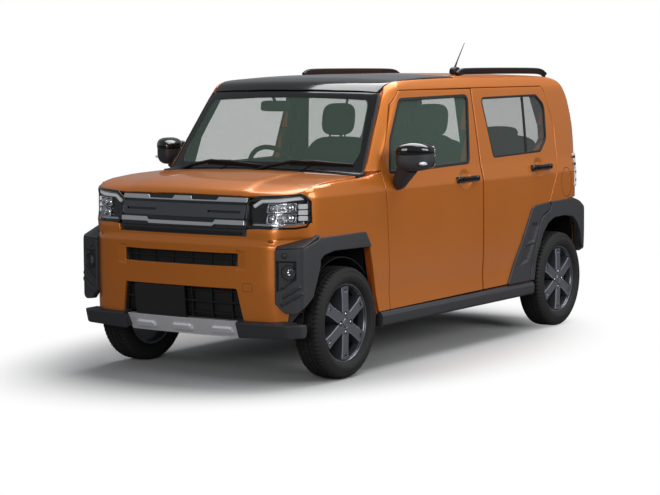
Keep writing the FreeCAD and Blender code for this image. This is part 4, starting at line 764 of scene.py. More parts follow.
def from_screen(u, v):
    """u across, v up the sloping screen; rays square to it."""
    zero = np.zeros_like(u)
    inside = 0.22
    y = -0.9608 + (v - 1.0774) / math.tan(SCREEN_DIP) + inside * math.sin(SCREEN_DIP)
    z = v - inside * math.cos(SCREEN_DIP)
    square = np.stack([zero, zero - math.sin(SCREEN_DIP), zero + math.cos(SCREEN_DIP)], -1)
    return np.stack([u, y, z], -1), square


screen_rim = both_ways([(0.658, 1.084, 0.01), (0.641, 1.155), (0.617, 1.299), (0.599, 1.416),
    (0.583, 1.500), (0.571, 1.522, 0.01), (0.300, 1.514), (0.0, 1.512)])
screen_hole = both_ways([(0.570, 1.124, 0.05), (0.592, 1.190, 0.1), (0.530, 1.474, 0.03)])
fit("windscreen_pane", skin(from_screen, screen_rim, slim=0.002, lift=-0.002, depth=0.005, turn=0.001,
    pitch=0.03), pane, stands_for="windscreen", slot="clear_glass")
fit("windscreen_border", skin(from_screen, screen_rim, [screen_hole], slim=0.002, lift=-0.0015, depth=0.006,
    turn=0.001), gloss)
screen_edge = np.array([point[:2] for point in screen_rim[:6]])
strip = [tuple(p) for p in np.concatenate([screen_edge + (0.001, 0), screen_edge[::-1] - (0.013, 0)])]
moulding = skin(from_screen, strip, lift=0.001, depth=0.006, turn=0.002, pitch=0.02)
pair("screen_moulding", moulding, rubber_seal)
roof_front = both_ways([(roof_half, 0.1765), (roof_half, -0.470), (0.575, -0.540, 0.03),
    (0.566, -0.585, 0.02), (0.556, -0.622, 0.012), (0.300, -0.641), (0.0, -0.649)])
fit("roof_glass_outer", skin(from_top, roof_front, slim=GAP / 2), gloss, stands_for="roof_glass")
for place, window, finish, border in (("front", front_window, pane, 0.014),
                                      ("rear", rear_window, dark_pane, 0.009)):
    sheet = skin(from_side, grown(window, 0.004), lift=-0.006, depth=0.004, turn=0.001, pitch=0.03)
    ring = skin(from_side, grown(window, border), [grown(window, -0.004)], lift=0.0008, depth=0.012,
        turn=0.002)
    for side, shape, edge in (("left", sheet, ring), ("right", reflected(sheet), reflected(ring))):
        door = "door_%s_%s" % (place, side)
        fit("pane_%s_%s" % (place, side), shape, finish, door, stands_for=door + "_glass")
        fit("window_seal_%s_%s" % (place, side), edge, rubber_seal, door)
divider = skin(from_side, [(0.908, 1.452), (0.926, 1.452), (0.893, 1.108), (0.873, 1.108)], lift=-0.001,
    depth=0.008, turn=0.001)
pair("window_divider", divider, rubber_seal, "door_rear")
fit("tailgate_pane", skin(round_back, grown(tail_window, 0.006), lift=-0.005, depth=0.004, turn=0.001,
    pitch=0.03), dark_pane, "tailgate", stands_for="tailgate_glass")
fit("tailgate_seal", skin(round_back, grown(tail_window, 0.012), [grown(tail_window, -0.005)], lift=0.0008),
    rubber_seal, "tailgate")

# Cladding: grained polypropylene arch bands, sills, corner pods and lower guards, clipped
# over the steel. Their edges are moulded with a small radius.
grained = Finish("grained_cladding", "black_plastic", srgb(50, 51, 55), 0.55)
grain = grained.noise(1100.0, 3.0)
grained.bump(grain, 0.0004, 0.8)
grained.feed("Roughness", grain * 0.25 + 0.42)


def oblong(u0, v0, u1, v1, radius=0.006):
    """A rectangle's outline, from its low corner to its high one."""
    return [(u, v, radius) for u, v in ((u0, v0), (u1, v0), (u1, v1), (u0, v1))]


def bumps(*shapes):
    """A lift made of convex outlines, each raised by its height over a short slope."""
    def lift(u, v):
        total = np.zeros_like(u)
        for corners, height in shapes:
            loop = np.array([c[:2] for c in corners])
            if area(loop) < 0:
                loop = loop[::-1]
            ahead = np.roll(loop, -1, 0) - loop
            run = np.linalg.norm(ahead, axis=1)
            worst = np.full_like(u, -9.0)
            for (u0, v0), (du, dv), length in zip(loop, ahead, run):
                worst = np.maximum(worst, ((u - u0) * dv - (v - v0) * du) / length)
            total += height * np.clip(0.5 - worst / 0.0024, 0, 1)
        return total
    return lift


def planes(p, faces, bend, worst=None):
    """The largest distance of points beyond a set of planes, blended where they meet; the
    planes are mirrored on the car's right."""
    x = np.abs(p[..., 0])
    for normal, far in faces:
        face = x * normal[0] + p[..., 1] * normal[1] + p[..., 2] * normal[2] - far
        worst = face if worst is None else harder(worst, face, bend)
    return worst


POD = (((0.295, -0.956, 0), 1.759), ((0.780, -0.626, 0), 1.573), ((1, 0, 0), 0.7365),
    ((0.080, -0.332, 0.940), 1.2787))


def pod_form(p):
    """The corner pod: the largest distance to its front, corner, side and top planes."""
    return planes(p, POD, 0.006)


pocket = [(0.598, 0.656), (0.686, 0.656), (0.688, 0.568), (0.630, 0.520), (0.598, 0.506)]
ridge_high = [(0.630, 0.480), (0.705, 0.535), (0.709, 0.526), (0.634, 0.470)]
ridge_low = [(0.622, 0.440), (0.716, 0.502), (0.720, 0.493), (0.626, 0.431)]
pod_rim = [(0.588, 0.718, 0.012), (0.7176, 0.724, 0.02), (0.780, 0.744, 0.02), (0.853, 0.764, 0.01),
    (0.853, 0.628, 0.006), (0.789, 0.470, 0.01), (0.770, 0.452, 0.02), (0.688, 0.385, 0.03),
    (0.636, 0.392, 0.02), (0.588, 0.440, 0.02)]
pod_front = skin(round_front, pod_rim, form=pod_form, turn=0.005, depth=0.03, pitch=0.012,
    columns=((0.7176, 0.006),), marks=(pocket, ridge_high, ridge_low),
    lift=bumps((pocket, -0.016), (ridge_high, 0.004), (ridge_low, 0.004)))


def merge(*parts):
    """Several meshes as one."""
    points = []
    faces = []
    normals = []
    start = 0
    for p, f, n in parts:
        points.append(p)
        faces += [g + start for g in f]
        normals.append(n)
        start += len(p)
    return np.concatenate(points), faces, None if normals[0] is None else np.concatenate(normals)


BAND_LIFT = 0.0125
FLARE = (((0.702, 0.712, 0), 1.6526), ((0.12, 0.993, 0), 1.7560), ((0, 0.225, 0.974), 1.1078),
    ((0.46, 0.46, 0.76), 1.6350))


def flare_form(p):
    """The rear flare: the body's side moved out, with corner, rear and top planes."""
    return planes(p, FLARE, 0.006, np.abs(p[..., 0]) - half_width(p[..., 2]) - BAND_LIFT)


from_pod = upward(0.60)
pod_top = skin(from_pod, [(0.594, -1.654), (0.720, -1.612, 0.01), (0.7335, -1.592, 0.01), (0.7335, -1.452),
    (0.690, -1.452), (0.580, -1.575)], form=pod_form, turn=0.002, depth=0.02, pitch=0.012)
front_band_rim = [(-1.4525, 0.768, 0.008), (-1.010, 0.768, 0.012), (-0.953, 0.684, 0.006),
    (-1.312, 0.690, 0.1), (-1.406, 0.675, 0.06), (-1.4525, 0.640, 0.01)]
rear_band_rim = [(1.133, 0.771, 0.01), (1.122, 0.796, 0.006), (1.430, 0.802, 0.08), (1.548, 0.774, 0.002),
    (1.548, 0.546, 0.002), (1.535, 0.581, 0.1), (1.490, 0.643, 0.06), (1.432, 0.683, 0.06),
    (1.317, 0.698, 0.2), (1.176, 0.694, 0.1), (1.093, 0.665, 0.06), (1.025, 0.607, 0.06),
    (0.965, 0.497, 0.1), (0.914, 0.326, 0.006), (0.860, 0.326, 0.006), (0.887, 0.410, 0.1),
    (0.920, 0.501, 0.1), (0.966, 0.624, 0.06), (0.993, 0.684, 0.05), (1.039, 0.718, 0.05),
    (1.115, 0.741, 0.02)]
door_band_rim = [(0.578, 0.326, 0.006), (0.888, 0.774, 0.03), (0.942, 0.786, 0.05), (1.116, 0.795, 0.006),
    (1.126, 0.772, 0.01), (1.109, 0.747, 0.02), (1.035, 0.724, 0.05), (0.986, 0.688, 0.05),
    (0.959, 0.626, 0.06), (0.913, 0.503, 0.1), (0.880, 0.412, 0.1), (0.852, 0.326, 0.006)]
vent = [(0.878, 0.674), (0.960, 0.668), (0.832, 0.452), (0.742, 0.435)]
vent_bar = [(0.815, 0.560), (0.905, 0.566), (0.898, 0.553), (0.808, 0.547)]
BAND = dict(turn=0.006, depth=0.02)
pair("front_arch_band", skin(from_side, front_band_rim, lift=BAND_LIFT, **BAND), grained)
flare_rim = [(girth(0.737, 1.5495), 0.774, 0.002), (girth(0.737, 1.594), 0.744, 0.01), (0.655, 0.752),
    (0.575, 0.745, 0.02), (0.575, 0.470, 0.03), (0.640, 0.440, 0.03), (girth(0.737, 1.590), 0.474, 0.02),
    (girth(0.737, 1.572), 0.484, 0.004), (girth(0.737, 1.5495), 0.542, 0.002)]
flare_top = [(0.7345, 1.440), (0.7345, 1.590, 0.004), (0.645, 1.684, 0.01), (0.585, 1.686), (0.585, 1.640),
    (0.690, 1.510), (0.712, 1.440)]
FLARED = dict(form=flare_form, pitch=0.014)
flare = merge(skin(from_side, rear_band_rim, turn=0.006, depth=0.03, **FLARED),
    skin(round_back, flare_rim, turn=0.004, depth=0.03, **FLARED),
    skin(from_pod, flare_top, turn=0.002, depth=0.012, **FLARED))
pair("rear_arch_band", flare, grained)
door_bumps = bumps((vent, -0.007), (vent_bar, 0.005))
pair("rear_door_band", skin(from_side, door_band_rim, lift=lambda u, v: BAND_LIFT + door_bumps(u, v),
    pitch=0.014, marks=(vent, vent_bar), **BAND), grained, "door_rear")
pair("corner_pod", merge(pod_front, pod_top), grained)
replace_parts(bpy.data.objects["corner_pod_left"], "cladding")


def grid(rows, columns, wrap=False):
    """The quads of a sheet of points, row by row."""
    across = columns if wrap else columns - 1
    i, j = np.meshgrid(np.arange(rows - 1), np.arange(across), indexing="ij")
    k = (j + 1) % columns
    return np.stack([i * columns + j, i * columns + k, (i + 1) * columns + k, (i + 1) * columns + j],
        -1).reshape(-1, 4)


def sweep(section, start, end, cant=0.0):
    """A closed section of (x, z) points carried along the car; cant slants both ends."""
    ring = rounded(section, 0.02)
    height = ring[:, 1] - ring[:, 1].min()
    rows = []
    for y, slant in ((start, cant), (start, cant), (end, -cant), (end, -cant)):
        rows.append(np.stack([ring[:, 0], y + slant * height, ring[:, 1]], -1))
    middle = ring.mean(0)
    for place in (0, 3):
        rows[place] = rows[place] * (0, 1, 0) + np.array([middle[0], 0, middle[1]])
    points = np.concatenate(rows)
    faces = grid(4, len(ring), True)
    return points, [faces if area(ring) < 0 else faces[:, ::-1]], None


# Near-black plastic for the intakes, cowl, liners and tank; on the sheet in the sill seam it is painted
# shade.
black_and_shade = Finish("shadow_black_plastic", "black_plastic", srgb(9, 9, 10), 0.7)
black_and_shade.bump(black_and_shade.noise(400.0), 0.0003, 0.5)
sill_section = [(0.660, 0.240, 0.004), (0.722, 0.238, 0.010), (0.733, 0.250, 0.008), (0.7365, 0.296, 0.008),
    (0.724, 0.317, 0.006), (0.690, 0.319, 0.004), (0.660, 0.300, 0.004)]
pair("sill_cover", sweep(sill_section, -0.852, 0.906), grained)
# A near-black sheet set 30 mm in fills the seam between sill and doors: painted shade in the gap, which
# would otherwise show the floor through it.
seam_shade_sheet = skin(from_side, oblong(-0.755, 0.290, 0.905, 0.350), lift=-0.030, depth=0.004, turn=0.001,
    pitch=0.05)
pair("sill_seam_shade", seam_shade_sheet, black_and_shade)
GUARD = (((0.105, -0.960, -0.260), 1.5820), ((0.700, -0.690, -0.180), 1.5530), ((1, 0, -0.02), 0.7140))


def guard_form(p):
    """The lower guard: front, corner and side planes that lean in below."""
    return planes(p, GUARD, 0.008)


guard_tip = girth(0.716, 1.545)
guard_rim = [(0.372, 0.250, 0.004), (guard_tip - 0.01, 0.262, 0.012), (guard_tip, 0.290, 0.008),
    (guard_tip - 0.004, 0.330, 0.008), (0.366, 0.334, 0.004)]
pair("lower_guard", skin(round_front, guard_rim, form=guard_form, turn=0.006, depth=0.060, pitch=0.014),
    grained)

# Skid plate: a satin silver moulding below the bumper, screwed to it from below, with
# three raised pads along its front.
def eased(name, node, finish, width, body="root", angle=25):
    """A merged copy of a solid whose sharp edges are rounded over."""
    work = bmesh.new()
    work.from_mesh(nodes[node].data)
    bmesh.ops.remove_doubles(work, verts=work.verts, dist=0.00002)
    bmesh.ops.dissolve_limit(work, angle_limit=0.02, verts=work.verts, edges=work.edges)
    mesh = bpy.data.meshes.new(name)
    work.to_mesh(mesh)
    work.free()
    made = bpy.data.objects.new(name, mesh)
    bpy.context.scene.collection.objects.link(made)
    mesh.polygons.foreach_set("material_index", np.zeros(len(mesh.polygons), np.int32))
    mesh.polygons.foreach_set("use_smooth", np.ones(len(mesh.polygons), bool))
    edge = made.modifiers.new("edges", "BEVEL")
    edge.width = width
    edge.segments = 2
    edge.limit_method = "ANGLE"
    edge.angle_limit = math.radians(angle)
    edge.miter_outer = "MITER_ARC"
    made.modifiers.new("shading", "WEIGHTED_NORMAL").keep_sharp = True
    carried(made, finish, body, node)


metal_trim = Finish("satin_silver_trim", "silver_trim", srgb(236, 236, 240), 0.34, 0.35,
    wear=(300.0, 0.12, 0.26))
eased("skid_plate_shell", "skid_plate", metal_trim, 0.005)
pads = [skin(round_front, [(x - 0.0695, 0.268, 0.012), (x - 0.058, 0.300, 0.012), (x + 0.058, 0.300, 0.012),
    (x + 0.0695, 0.268, 0.012)], lift=0.012, depth=0.02, turn=0.005) for x in (-0.256, -0.007, 0.249)]
fit("skid_plate_pads", merge(*pads), metal_trim)

# Grille: a black backing, a grey band with two dark slots, and bright bars above and
# below it. The bars are moulded and plated.
plated = Finish("bright_plated_trim", "silver_trim", srgb(222, 224, 228), 0.14, 0.95,
    wear=(90.0, 0.06, 0.12))
band_grey = Finish("grille_band_grey", "grey_trim", srgb(88, 89, 95), 0.36, 0.5, wear=(120.0, 0.1, 0.3))


def girdle_skin(rim, lift, depth=0.006, holes=(), turn=0.0015, pitch=0.02, way=round_front):
    """A trim strip laid round one end of the form."""
    return skin(way, rim, holes, lift=lift, depth=depth, turn=turn, pitch=pitch)


fit("grille_backing", girdle_skin(both_ways([(0.410, 0.814), (0.420, 0.900), (0.412, 0.984),
    (0.200, 0.990)]), -0.006, depth=0.02), gloss, stands_for="grille")
slots = [[(s * 0.168, 0.893, 0.001), (s * 0.372, 0.893, 0.001), (s * 0.376, 0.904, 0.001),
    (s * 0.172, 0.904, 0.001)] for s in (-1, 1)]
fit("grille_band", girdle_skin(both_ways([(0.398, 0.866), (0.404, 0.936)]), 0.002, holes=slots), band_grey)
upper_bar = both_ways([(0.408, 0.948), (0.408, 0.972, 0.004), (0.232, 0.973, 0.003), (0.220, 0.957, 0.003),
    (0.066, 0.957, 0.003), (0.054, 0.974, 0.003)])
lower_bar = (both_ways([(0.405, 0.832, 0.003), (0.222, 0.832, 0.004), (0.208, 0.822, 0.004)])
    + both_ways([(-0.405, 0.858, 0.003), (-0.225, 0.858, 0.004), (-0.212, 0.843, 0.004)]))
fit("grille_bars", merge(girdle_skin(upper_bar, 0.006, 0.012, turn=0.003, pitch=0.01),
    girdle_skin(lower_bar, 0.007, 0.012, turn=0.003, pitch=0.01)), plated)
fit("grille_lip", girdle_skin(both_ways([(0.388, 0.786), (0.392, 0.800)]), 0.001), black_and_shade)

# Intakes: black plastic mouldings clipped behind the bumper's two openings, with upright
# slats and bars across them.
inlet = [girdle_skin(both_ways([(0.385, 0.610), (0.385, 0.700)]), -0.050, 0.01),
    girdle_skin(both_ways([(0.412, 0.318), (0.380, 0.520)]), -0.055, 0.01)]
inlet.append(girdle_skin(both_ways([(0.380, 0.651), (0.380, 0.659)]), -0.034, 0.012))
for x in np.arange(-0.315, 0.34, 0.126):
    inlet.append(girdle_skin(oblong(x - 0.003, 0.612, x + 0.003, 0.697), -0.040, 0.012))
    inlet.append(girdle_skin(oblong(x - 0.003, 0.325, x + 0.003, 0.510), -0.030, 0.02))
for z in (0.362, 0.428, 0.480):
    back = -0.016 if z == 0.428 else -0.040
    inlet.append(girdle_skin(both_ways([(0.385, z - 0.004), (0.383, z + 0.004)]), back, 0.012))
fit("intake_slats", merge(*inlet), black_and_shade)

# Blank plate and covers: a bare black plate screwed over the lower intake on the car's right,
# the square lid over the towing eye, and the grip moulded across the tailgate.
plate = Finish("blank_plate", "black_plastic", srgb(30, 30, 32), 0.32, wear=(40.0, 0.1, 0.26))
fit("blank_plate", girdle_skin(oblong(-0.306, 0.326, 0.035, 0.502), -0.003, 0.012), plate)
cover = oblong(0.404, 0.495, 0.459, 0.537)
fit("tow_cover_line", girdle_skin(grown(cover, 0.0012), 0.0004, 0.002, [grown(cover, -0.0004)],
    turn=0.0004), black_and_shade)
fit("tailgate_grip", girdle_skin(both_ways([(0.270, 0.984, 0.006), (0.262, 1.020, 0.006)]), 0.006, 0.012,
    way=round_back), gloss, "tailgate")

# Head lamps: a clear moulded lens bonded over a black housing, with a light bar along the
# top, two stacked reflector units, three light blocks outside them and a plated lower bar.
def spot(way, u, v, lift=0.0, form=outside):
    """The place on a form at (u, v), moved out by lift, and its normal."""
    origin, direction = way(np.array([u]), np.array([v]))
    top = reach(origin, direction, form)
    normal = facing(top, form)
    return top[0] + lift * normal[0], normal[0]


def lathe(profile, centre, axis, turns=40):
    """A profile of (along, radius) points turned about an axis through a centre."""
    axis = np.asarray(axis, float) / np.linalg.norm(axis)
    first = np.cross(axis, (0.0, 0.0, 1.0) if abs(axis[2]) < 0.9 else (1.0, 0.0, 0.0))
    first /= np.linalg.norm(first)
    second = np.cross(axis, first)
    angle = np.linspace(0, 2 * math.pi, turns, endpoint=False)
    along, radius = np.array(profile, float).T
    circle = np.cos(angle)[:, None] * first + np.sin(angle)[:, None] * second
    points = np.asarray(centre) + along[:, None, None] * axis + radius[:, None, None] * circle
    return points.reshape(-1, 3), [grid(len(profile), turns, True)], None


lamp_rim = [(0.424, 0.818, 0.012), (0.700, 0.816, 0.02), (0.768, 0.824, 0.02), (0.798, 0.858, 0.015),
    (0.798, 0.960, 0.015), (0.742, 0.999, 0.02), (0.640, 0.993, 0.02), (0.470, 0.985, 0.012),
    (0.400, 0.950, 0.012), (0.404, 0.872, 0.02)]
lens = Finish("clear_lens", "clear_lens", srgb(60, 62, 64), 0.03, alpha=0.07, coat_weight=1.0,
    coat_roughness=0.0, wear=(20.0, 0.02, 0.01))
light = Finish("frosted_light_guide", "clear_lens", srgb(226, 230, 236), 0.22, 0.3,
    emission_color=(1, 1, 1, 1), emission_strength=0.12, wear=(200.0, 0.1, 0.25))
mirror_plate = Finish("reflector_plate", "clear_lens", srgb(226, 228, 232), 0.10, 1.0)
mirror_plate.bump(mirror_plate.noise(160.0, 0.0), 0.002, 0.7)
housing = girdle_skin(lamp_rim, -0.030, 0.012)
surround = girdle_skin(grown(lamp_rim, 0.001), 0.001, 0.02, [grown(lamp_rim, -0.012)], turn=0.003,
    pitch=0.012)
pair("head_lamp_housing", merge(housing, surround), gloss)
pair("head_lamp_lens", girdle_skin(grown(lamp_rim, -0.004), 0.0, 0.003, turn=0.001, pitch=0.015), lens)
bright_bars = [girdle_skin([(0.436, 0.940, 0.003), (0.486, 0.972, 0.004), (0.640, 0.982, 0.004),
    (0.736, 0.984, 0.004), (0.760, 0.966, 0.004), (0.730, 0.966, 0.004), (0.640, 0.962, 0.004),
    (0.494, 0.955, 0.004), (0.446, 0.926, 0.003)], -0.012, 0.012, turn=0.002, pitch=0.01)]
for low, high in ((0.858, 0.882), (0.888, 0.912), (0.918, 0.944)):
    bright_bars.append(girdle_skin(oblong(0.722, low, 0.780, high, 0.003), -0.010, 0.016, turn=0.003,
        pitch=0.01))
pair("head_lamp_lights", merge(*bright_bars), light)
plates = [girdle_skin([(0.440, 0.834, 0.003), (0.700, 0.832, 0.003), (0.762, 0.842, 0.003),
    (0.750, 0.852, 0.003), (0.700, 0.844, 0.003), (0.452, 0.846, 0.003)], -0.012, 0.012, turn=0.002,
    pitch=0.01)]
bowls = []
bulbs = []
bowl_profile = [(0.008, 0.0235), (0.0, 0.019), (-0.007, 0.012), (-0.010, 0.004), (-0.0105, 0.0)]
bulb_profile = [(0.0, 0.0), (0.0, 0.010), (0.006, 0.0085), (0.010, 0.004), (0.0115, 0.0)]
bowl_middles = (0.558, 0.618, 0.678)
for z in (0.872, 0.926):
    holes = [rounded(oblong(u - 0.026, z - 0.020, u + 0.026, z + 0.020, 0.018)) for u in bowl_middles]
    plates.append(girdle_skin([(0.520, z - 0.025, 0.008), (0.712, z - 0.025, 0.008),
        (0.712, z + 0.025, 0.008), (0.532, z + 0.025, 0.008)], -0.020, 0.006, holes, 0.002, 0.01))
    for u in bowl_middles:
        place, out = spot(round_front, u, z, -0.028)
        bowls.append(lathe(bowl_profile, place, -out))
        bulbs.append(lathe(bulb_profile, place, out))
pair("head_lamp_reflectors", merge(*plates), mirror_plate)
pair("head_lamp_bowls", merge(*bowls), mirror_plate)
pair("head_lamp_bulbs", merge(*bulbs), lens)
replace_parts(bpy.data.objects["head_lamp_housing_left"], "front_lamps")

# Fog lamps: a round lamp in a pocket of each corner pod, with its bowl, reflector and clear
# lens held by a moulded ring, and a small round cap above it.
fog_at, fog_out = spot(round_front, 0.652, 0.600, -0.010, pod_form)
cap_at, cap_out = spot(round_front, 0.638, 0.687, 0.0, pod_form)
ring_profile = [(-0.03, 0.041), (0.002, 0.041), (0.006, 0.0395), (0.006, 0.0375), (0.002, 0.0365),
    (-0.012, 0.0345)]
pair("fog_lamp_ring", lathe(ring_profile[::-1], fog_at, fog_out), grained)
pair("fog_lamp_bowl", lathe([(-0.012, 0.035), (-0.020, 0.030), (-0.022, 0.0)], fog_at, fog_out), black_and_shade)
lit_at = fog_at + np.array([0.006, 0.002, 0.0])
fog_parts = [lathe([(-0.020, 0.024), (-0.010, 0.023), (-0.013, 0.016), (-0.016, 0.0)], lit_at, fog_out, 32)]
for angle in np.arange(6) * math.pi / 3:
    aside = np.array([0.6 * math.cos(angle), 0.3 * math.cos(angle), math.sin(angle)])
    fog_parts.append(lathe([(-0.014, 0.006), (-0.006, 0.005), (-0.005, 0.0)], lit_at + 0.013 * aside,
        fog_out, 8))
pair("fog_lamp_reflector", merge(*fog_parts), mirror_plate)
pair("fog_lamp_lens", lathe([(-0.004, 0.0350), (0.001, 0.028), (0.003, 0.015), (0.0035, 0.0)], fog_at,
    fog_out), lens)
pair("sensor_cap", lathe([(-0.01, 0.0155), (0.002, 0.0155), (0.003, 0.0145), (0.001, 0.0130),
    (0.005, 0.0115), (0.0075, 0.007), (0.008, 0.0)], cap_at, cap_out), grained)

# Wheels: cast alloy with six flat spokes in dark grey, bevelled along their edges and
# notched near the rim, held by four nuts inside a moulded rubber tyre. Each face is a
# sheet laid out sector by sector, so that its columns follow the spokes' edges.
tyre_radius = 0.2975
tread_half = 0.0594
spoke_half = 0.030
bevel = 0.0045
hub_reach = 0.066
window_reach = 0.193
stud_circle = 0.048
stud_angles = (0, math.pi / 2, math.pi, 3 * math.pi / 2)


def wheel_face():
    """The spokes and the windows between them, outwards along +x from the wheel's centre.
    Row i is a radius; column j is a distance from a spoke's middle line, turned into an
    angle, up to half the spacing between spokes. kind is a face's place in
    rim_finishes."""
    radii = np.array([hub_reach, 0.072, 0.085, 0.100, 0.115, 0.130, 0.140, 0.154, 0.1595, 0.161, 0.169,
        0.178, 0.1795, 0.184, 0.188, 0.1915, window_reach, 0.1945])
    half = spoke_half + 0.004 * np.clip((radii - 0.150) / 0.03, 0, 1)
    notch = np.clip((radii - 0.1595) / 0.0015, 0, 1) * np.clip((0.1795 - radii) / 0.0015, 0, 1)
    top = 0.0640 - 0.004 * (radii / 0.19) ** 2
    floor_at = np.where(radii < 0.135, -0.012, -0.012 - 0.009 * np.clip((radii - 0.135) / 0.01, 0, 1))
    floor_at = floor_at + (0.045 + 0.012) * np.clip((radii - 0.180) / 0.0145, 0, 1) ** 2
    columns = []
    for way in (0.0, 0.006, 0.0115, 0.013, 0.018):
        inside = 1.0 if way < 0.012 else 0.0
        columns.append((np.full_like(radii, way), top - 0.0085 * notch * inside))
    columns.append((half - bevel, top))
    columns.append((half, top - bevel * 0.8))
    wall = np.minimum(np.arcsin((half + 0.003) / radii), math.pi / 6 - 0.01)
    angles = [np.arcsin(np.minimum(c[0] / radii, 1)) for c in columns] + [wall]
    heights = [c[1] for c in columns] + [floor_at]
    for share in (0.35, 0.7, 1.0):
        angles.append(wall + (math.pi / 6 - wall) * share)
        heights.append(floor_at)
    angles = np.array(angles).T
    heights = np.array(heights).T
    angles = np.concatenate([-angles[:, :0:-1], angles], 1)[:, :-1]
    heights = np.concatenate([heights[:, :0:-1], heights], 1)[:, :-1]
    turn = np.arange(6)[None, :, None] * math.pi / 3 + math.pi / 2 + angles[:, None, :]
    tall = np.broadcast_to(heights[:, None, :], turn.shape)
    reach_out = np.broadcast_to(radii[:, None, None], turn.shape)
    points = np.stack([tall, reach_out * np.cos(turn), reach_out * np.sin(turn)], -1)
    per = angles.shape[1]
    faces = grid(len(radii), 6 * per, True)
    row = faces[:, 0] // (6 * per)
    column = faces[:, 0] % per
    away = np.abs(column - (per // 2))
    left_of = column < per // 2
    step = np.where(left_of, away - 1, away)
    # Window faces past the disc take kind 2, a near-black painted shade; those over the disc take kind 3.
    kind = np.where(step >= 7, np.where(row < 6, 3, 2), np.where(step == 5, 1, 0))
    kind = np.where((step <= 2) & (row >= 8) & (row <= 9), 1, kind)
    kind = np.where(row >= len(radii) - 3, 0, kind)
    return points.reshape(-1, 3), faces, kind


def wheel_hub():
    """The hub: a disc whose height falls into four stud wells and has a round cap."""
    radii = np.concatenate([[0.0], np.arange(0.008, 0.066, 0.0015), [hub_reach]])
    angle = np.arange(144) * math.pi / 72
    r, t = np.meshgrid(radii, angle, indexing="ij")
    y = r * np.cos(t)
    z = r * np.sin(t)
    well = np.minimum.reduce([np.hypot(y - stud_circle * math.cos(a), z - stud_circle * math.sin(a))
        for a in stud_angles])
    tall = 0.0635 - 0.024 * np.clip((0.0135 - well) / 0.0015, 0, 1)
    tall = tall - 0.003 * np.clip((0.0285 - r) / 0.0015, 0, 1) * np.clip((r - 0.0245) / 0.0015, 0, 1)
    tall = tall + 0.002 * np.clip((0.0245 - r) / 0.003, 0, 1)
    faces = grid(len(radii), 144, True)
    centre = well.ravel()[faces].max(1)
    # The faces in the stud wells take kind 2: painted shade.
    return np.stack([tall, y, z], -1).reshape(-1, 3), faces, np.where(centre < 0.0135, 2, 0)


barrel = [(0.0360, 0.1945), (0.045, 0.1955), (0.052, 0.197), (0.0565, 0.2005), (0.0605, 0.2030),
    (0.0607, 0.2065), (0.056, 0.2068), (0.054, 0.198), (-0.054, 0.198), (-0.056, 0.2068), (-0.0608, 0.2065),
    (-0.0608, 0.196), (-0.050, 0.190), (-0.0240, 0.1885), (-0.0240, 0.135), (-0.0240, 0.0)]


alloy = Finish("dark_alloy", "wheel_metal", srgb(126, 130, 138), 0.30, 0.8, wear=(500.0, 0.12, 0.25))
bright_alloy = Finish("machined_alloy", "wheel_metal", srgb(214, 217, 222), 0.18, 0.95,
    wear=(700.0, 0.08, 0.14))
# Near-black painted shade for the stud wells and for the window floors past the brake disc.
recess_shade = Finish("wheel_well_black", "wheel_metal", srgb(16, 16, 17), 0.6, wear=(100.0, 0.1, 0.5))
disc_iron = Finish("brake_disc_iron", "wheel_metal", srgb(92, 90, 88), 0.42, 0.8, wear=(60.0, 0.2, 0.3))
tyre_black = Finish("tyre_rubber", "tyre_rubber", srgb(24, 24, 25), 0.75)
tyre_black.bump(tyre_black.noise(500.0, 3.0), 0.0006, 0.7)
nut_profile = [(0.038, 0.0), (0.038, 0.0096), (0.0585, 0.0094), (0.0618, 0.0078), (0.0640, 0.0050),
    (0.0650, 0.0)]


def tyre_shape():
    """The tyre's section turned about the axle: four grooves run round the tread, slots
    cross its shoulders, and rings stand on the sidewalls."""
    turns = 288
    across = np.array([-0.0590, -0.0560, -0.0530, -0.0490, -0.0440, -0.0430, -0.0370, -0.0360, -0.0300,
        -0.0180, -0.0170, -0.0110, -0.0100, 0.0])
    across = np.concatenate([across, -across[-2::-1]])
    groove = np.maximum.reduce([np.clip((0.0036 - np.abs(np.abs(across) - at)) / 0.0008, 0, 1)
        for at in (0.0400, 0.0140)])
    crown = tyre_radius - 0.0035 * (across / tread_half) ** 4 - 0.0065 * groove
    wall = np.array([(0.0640, 0.2915), (0.0690, 0.2860), (0.0745, 0.2770), (0.0765, 0.2730),
        (0.0750, 0.2715), (0.0795, 0.2600), (0.0815, 0.2500), (0.0822, 0.2455), (0.0806, 0.2445),
        (0.0806, 0.2405), (0.0820, 0.2395), (0.0800, 0.2300), (0.0765, 0.2210), (0.0752, 0.2200),
        (0.0700, 0.2120), (0.0625, 0.2078), (0.0600, 0.2060), (0.0560, 0.1985)])
    left = wall[::-1] * (-1, 1)
    section = np.concatenate([left, np.stack([across, crown], -1), wall])
    angle = np.arange(turns) * 2 * math.pi / turns
    a, t = np.meshgrid(section[:, 0], angle, indexing="ij")
    r = np.broadcast_to(section[:, 1:2], a.shape).copy()
    slot = (np.arange(turns) % 4 == 0)[None, :]
    edge_zone = (np.abs(a) > 0.0425) & (np.abs(a) < 0.0700) & (r > 0.282)
    r = r - 0.0050 * (slot & edge_zone)
    middle = (np.abs(a) < 0.0120) | ((np.abs(a) > 0.0175) & (np.abs(a) < 0.0365))
    r = r - 0.0030 * ((np.arange(turns) % 8 == 3)[None, :] & middle)
    points = np.stack([a, r * np.cos(t), r * np.sin(t)], -1)
    inner = len(section)
    faces = grid(inner, turns, True)
    closing = np.stack([np.arange(turns), (np.arange(turns) + 1) % turns, (inner - 1) * turns
        + (np.arange(turns) + 1) % turns, (inner - 1) * turns + np.arange(turns)], -1)[:, ::-1]
    return points.reshape(-1, 3), np.concatenate([faces, closing])


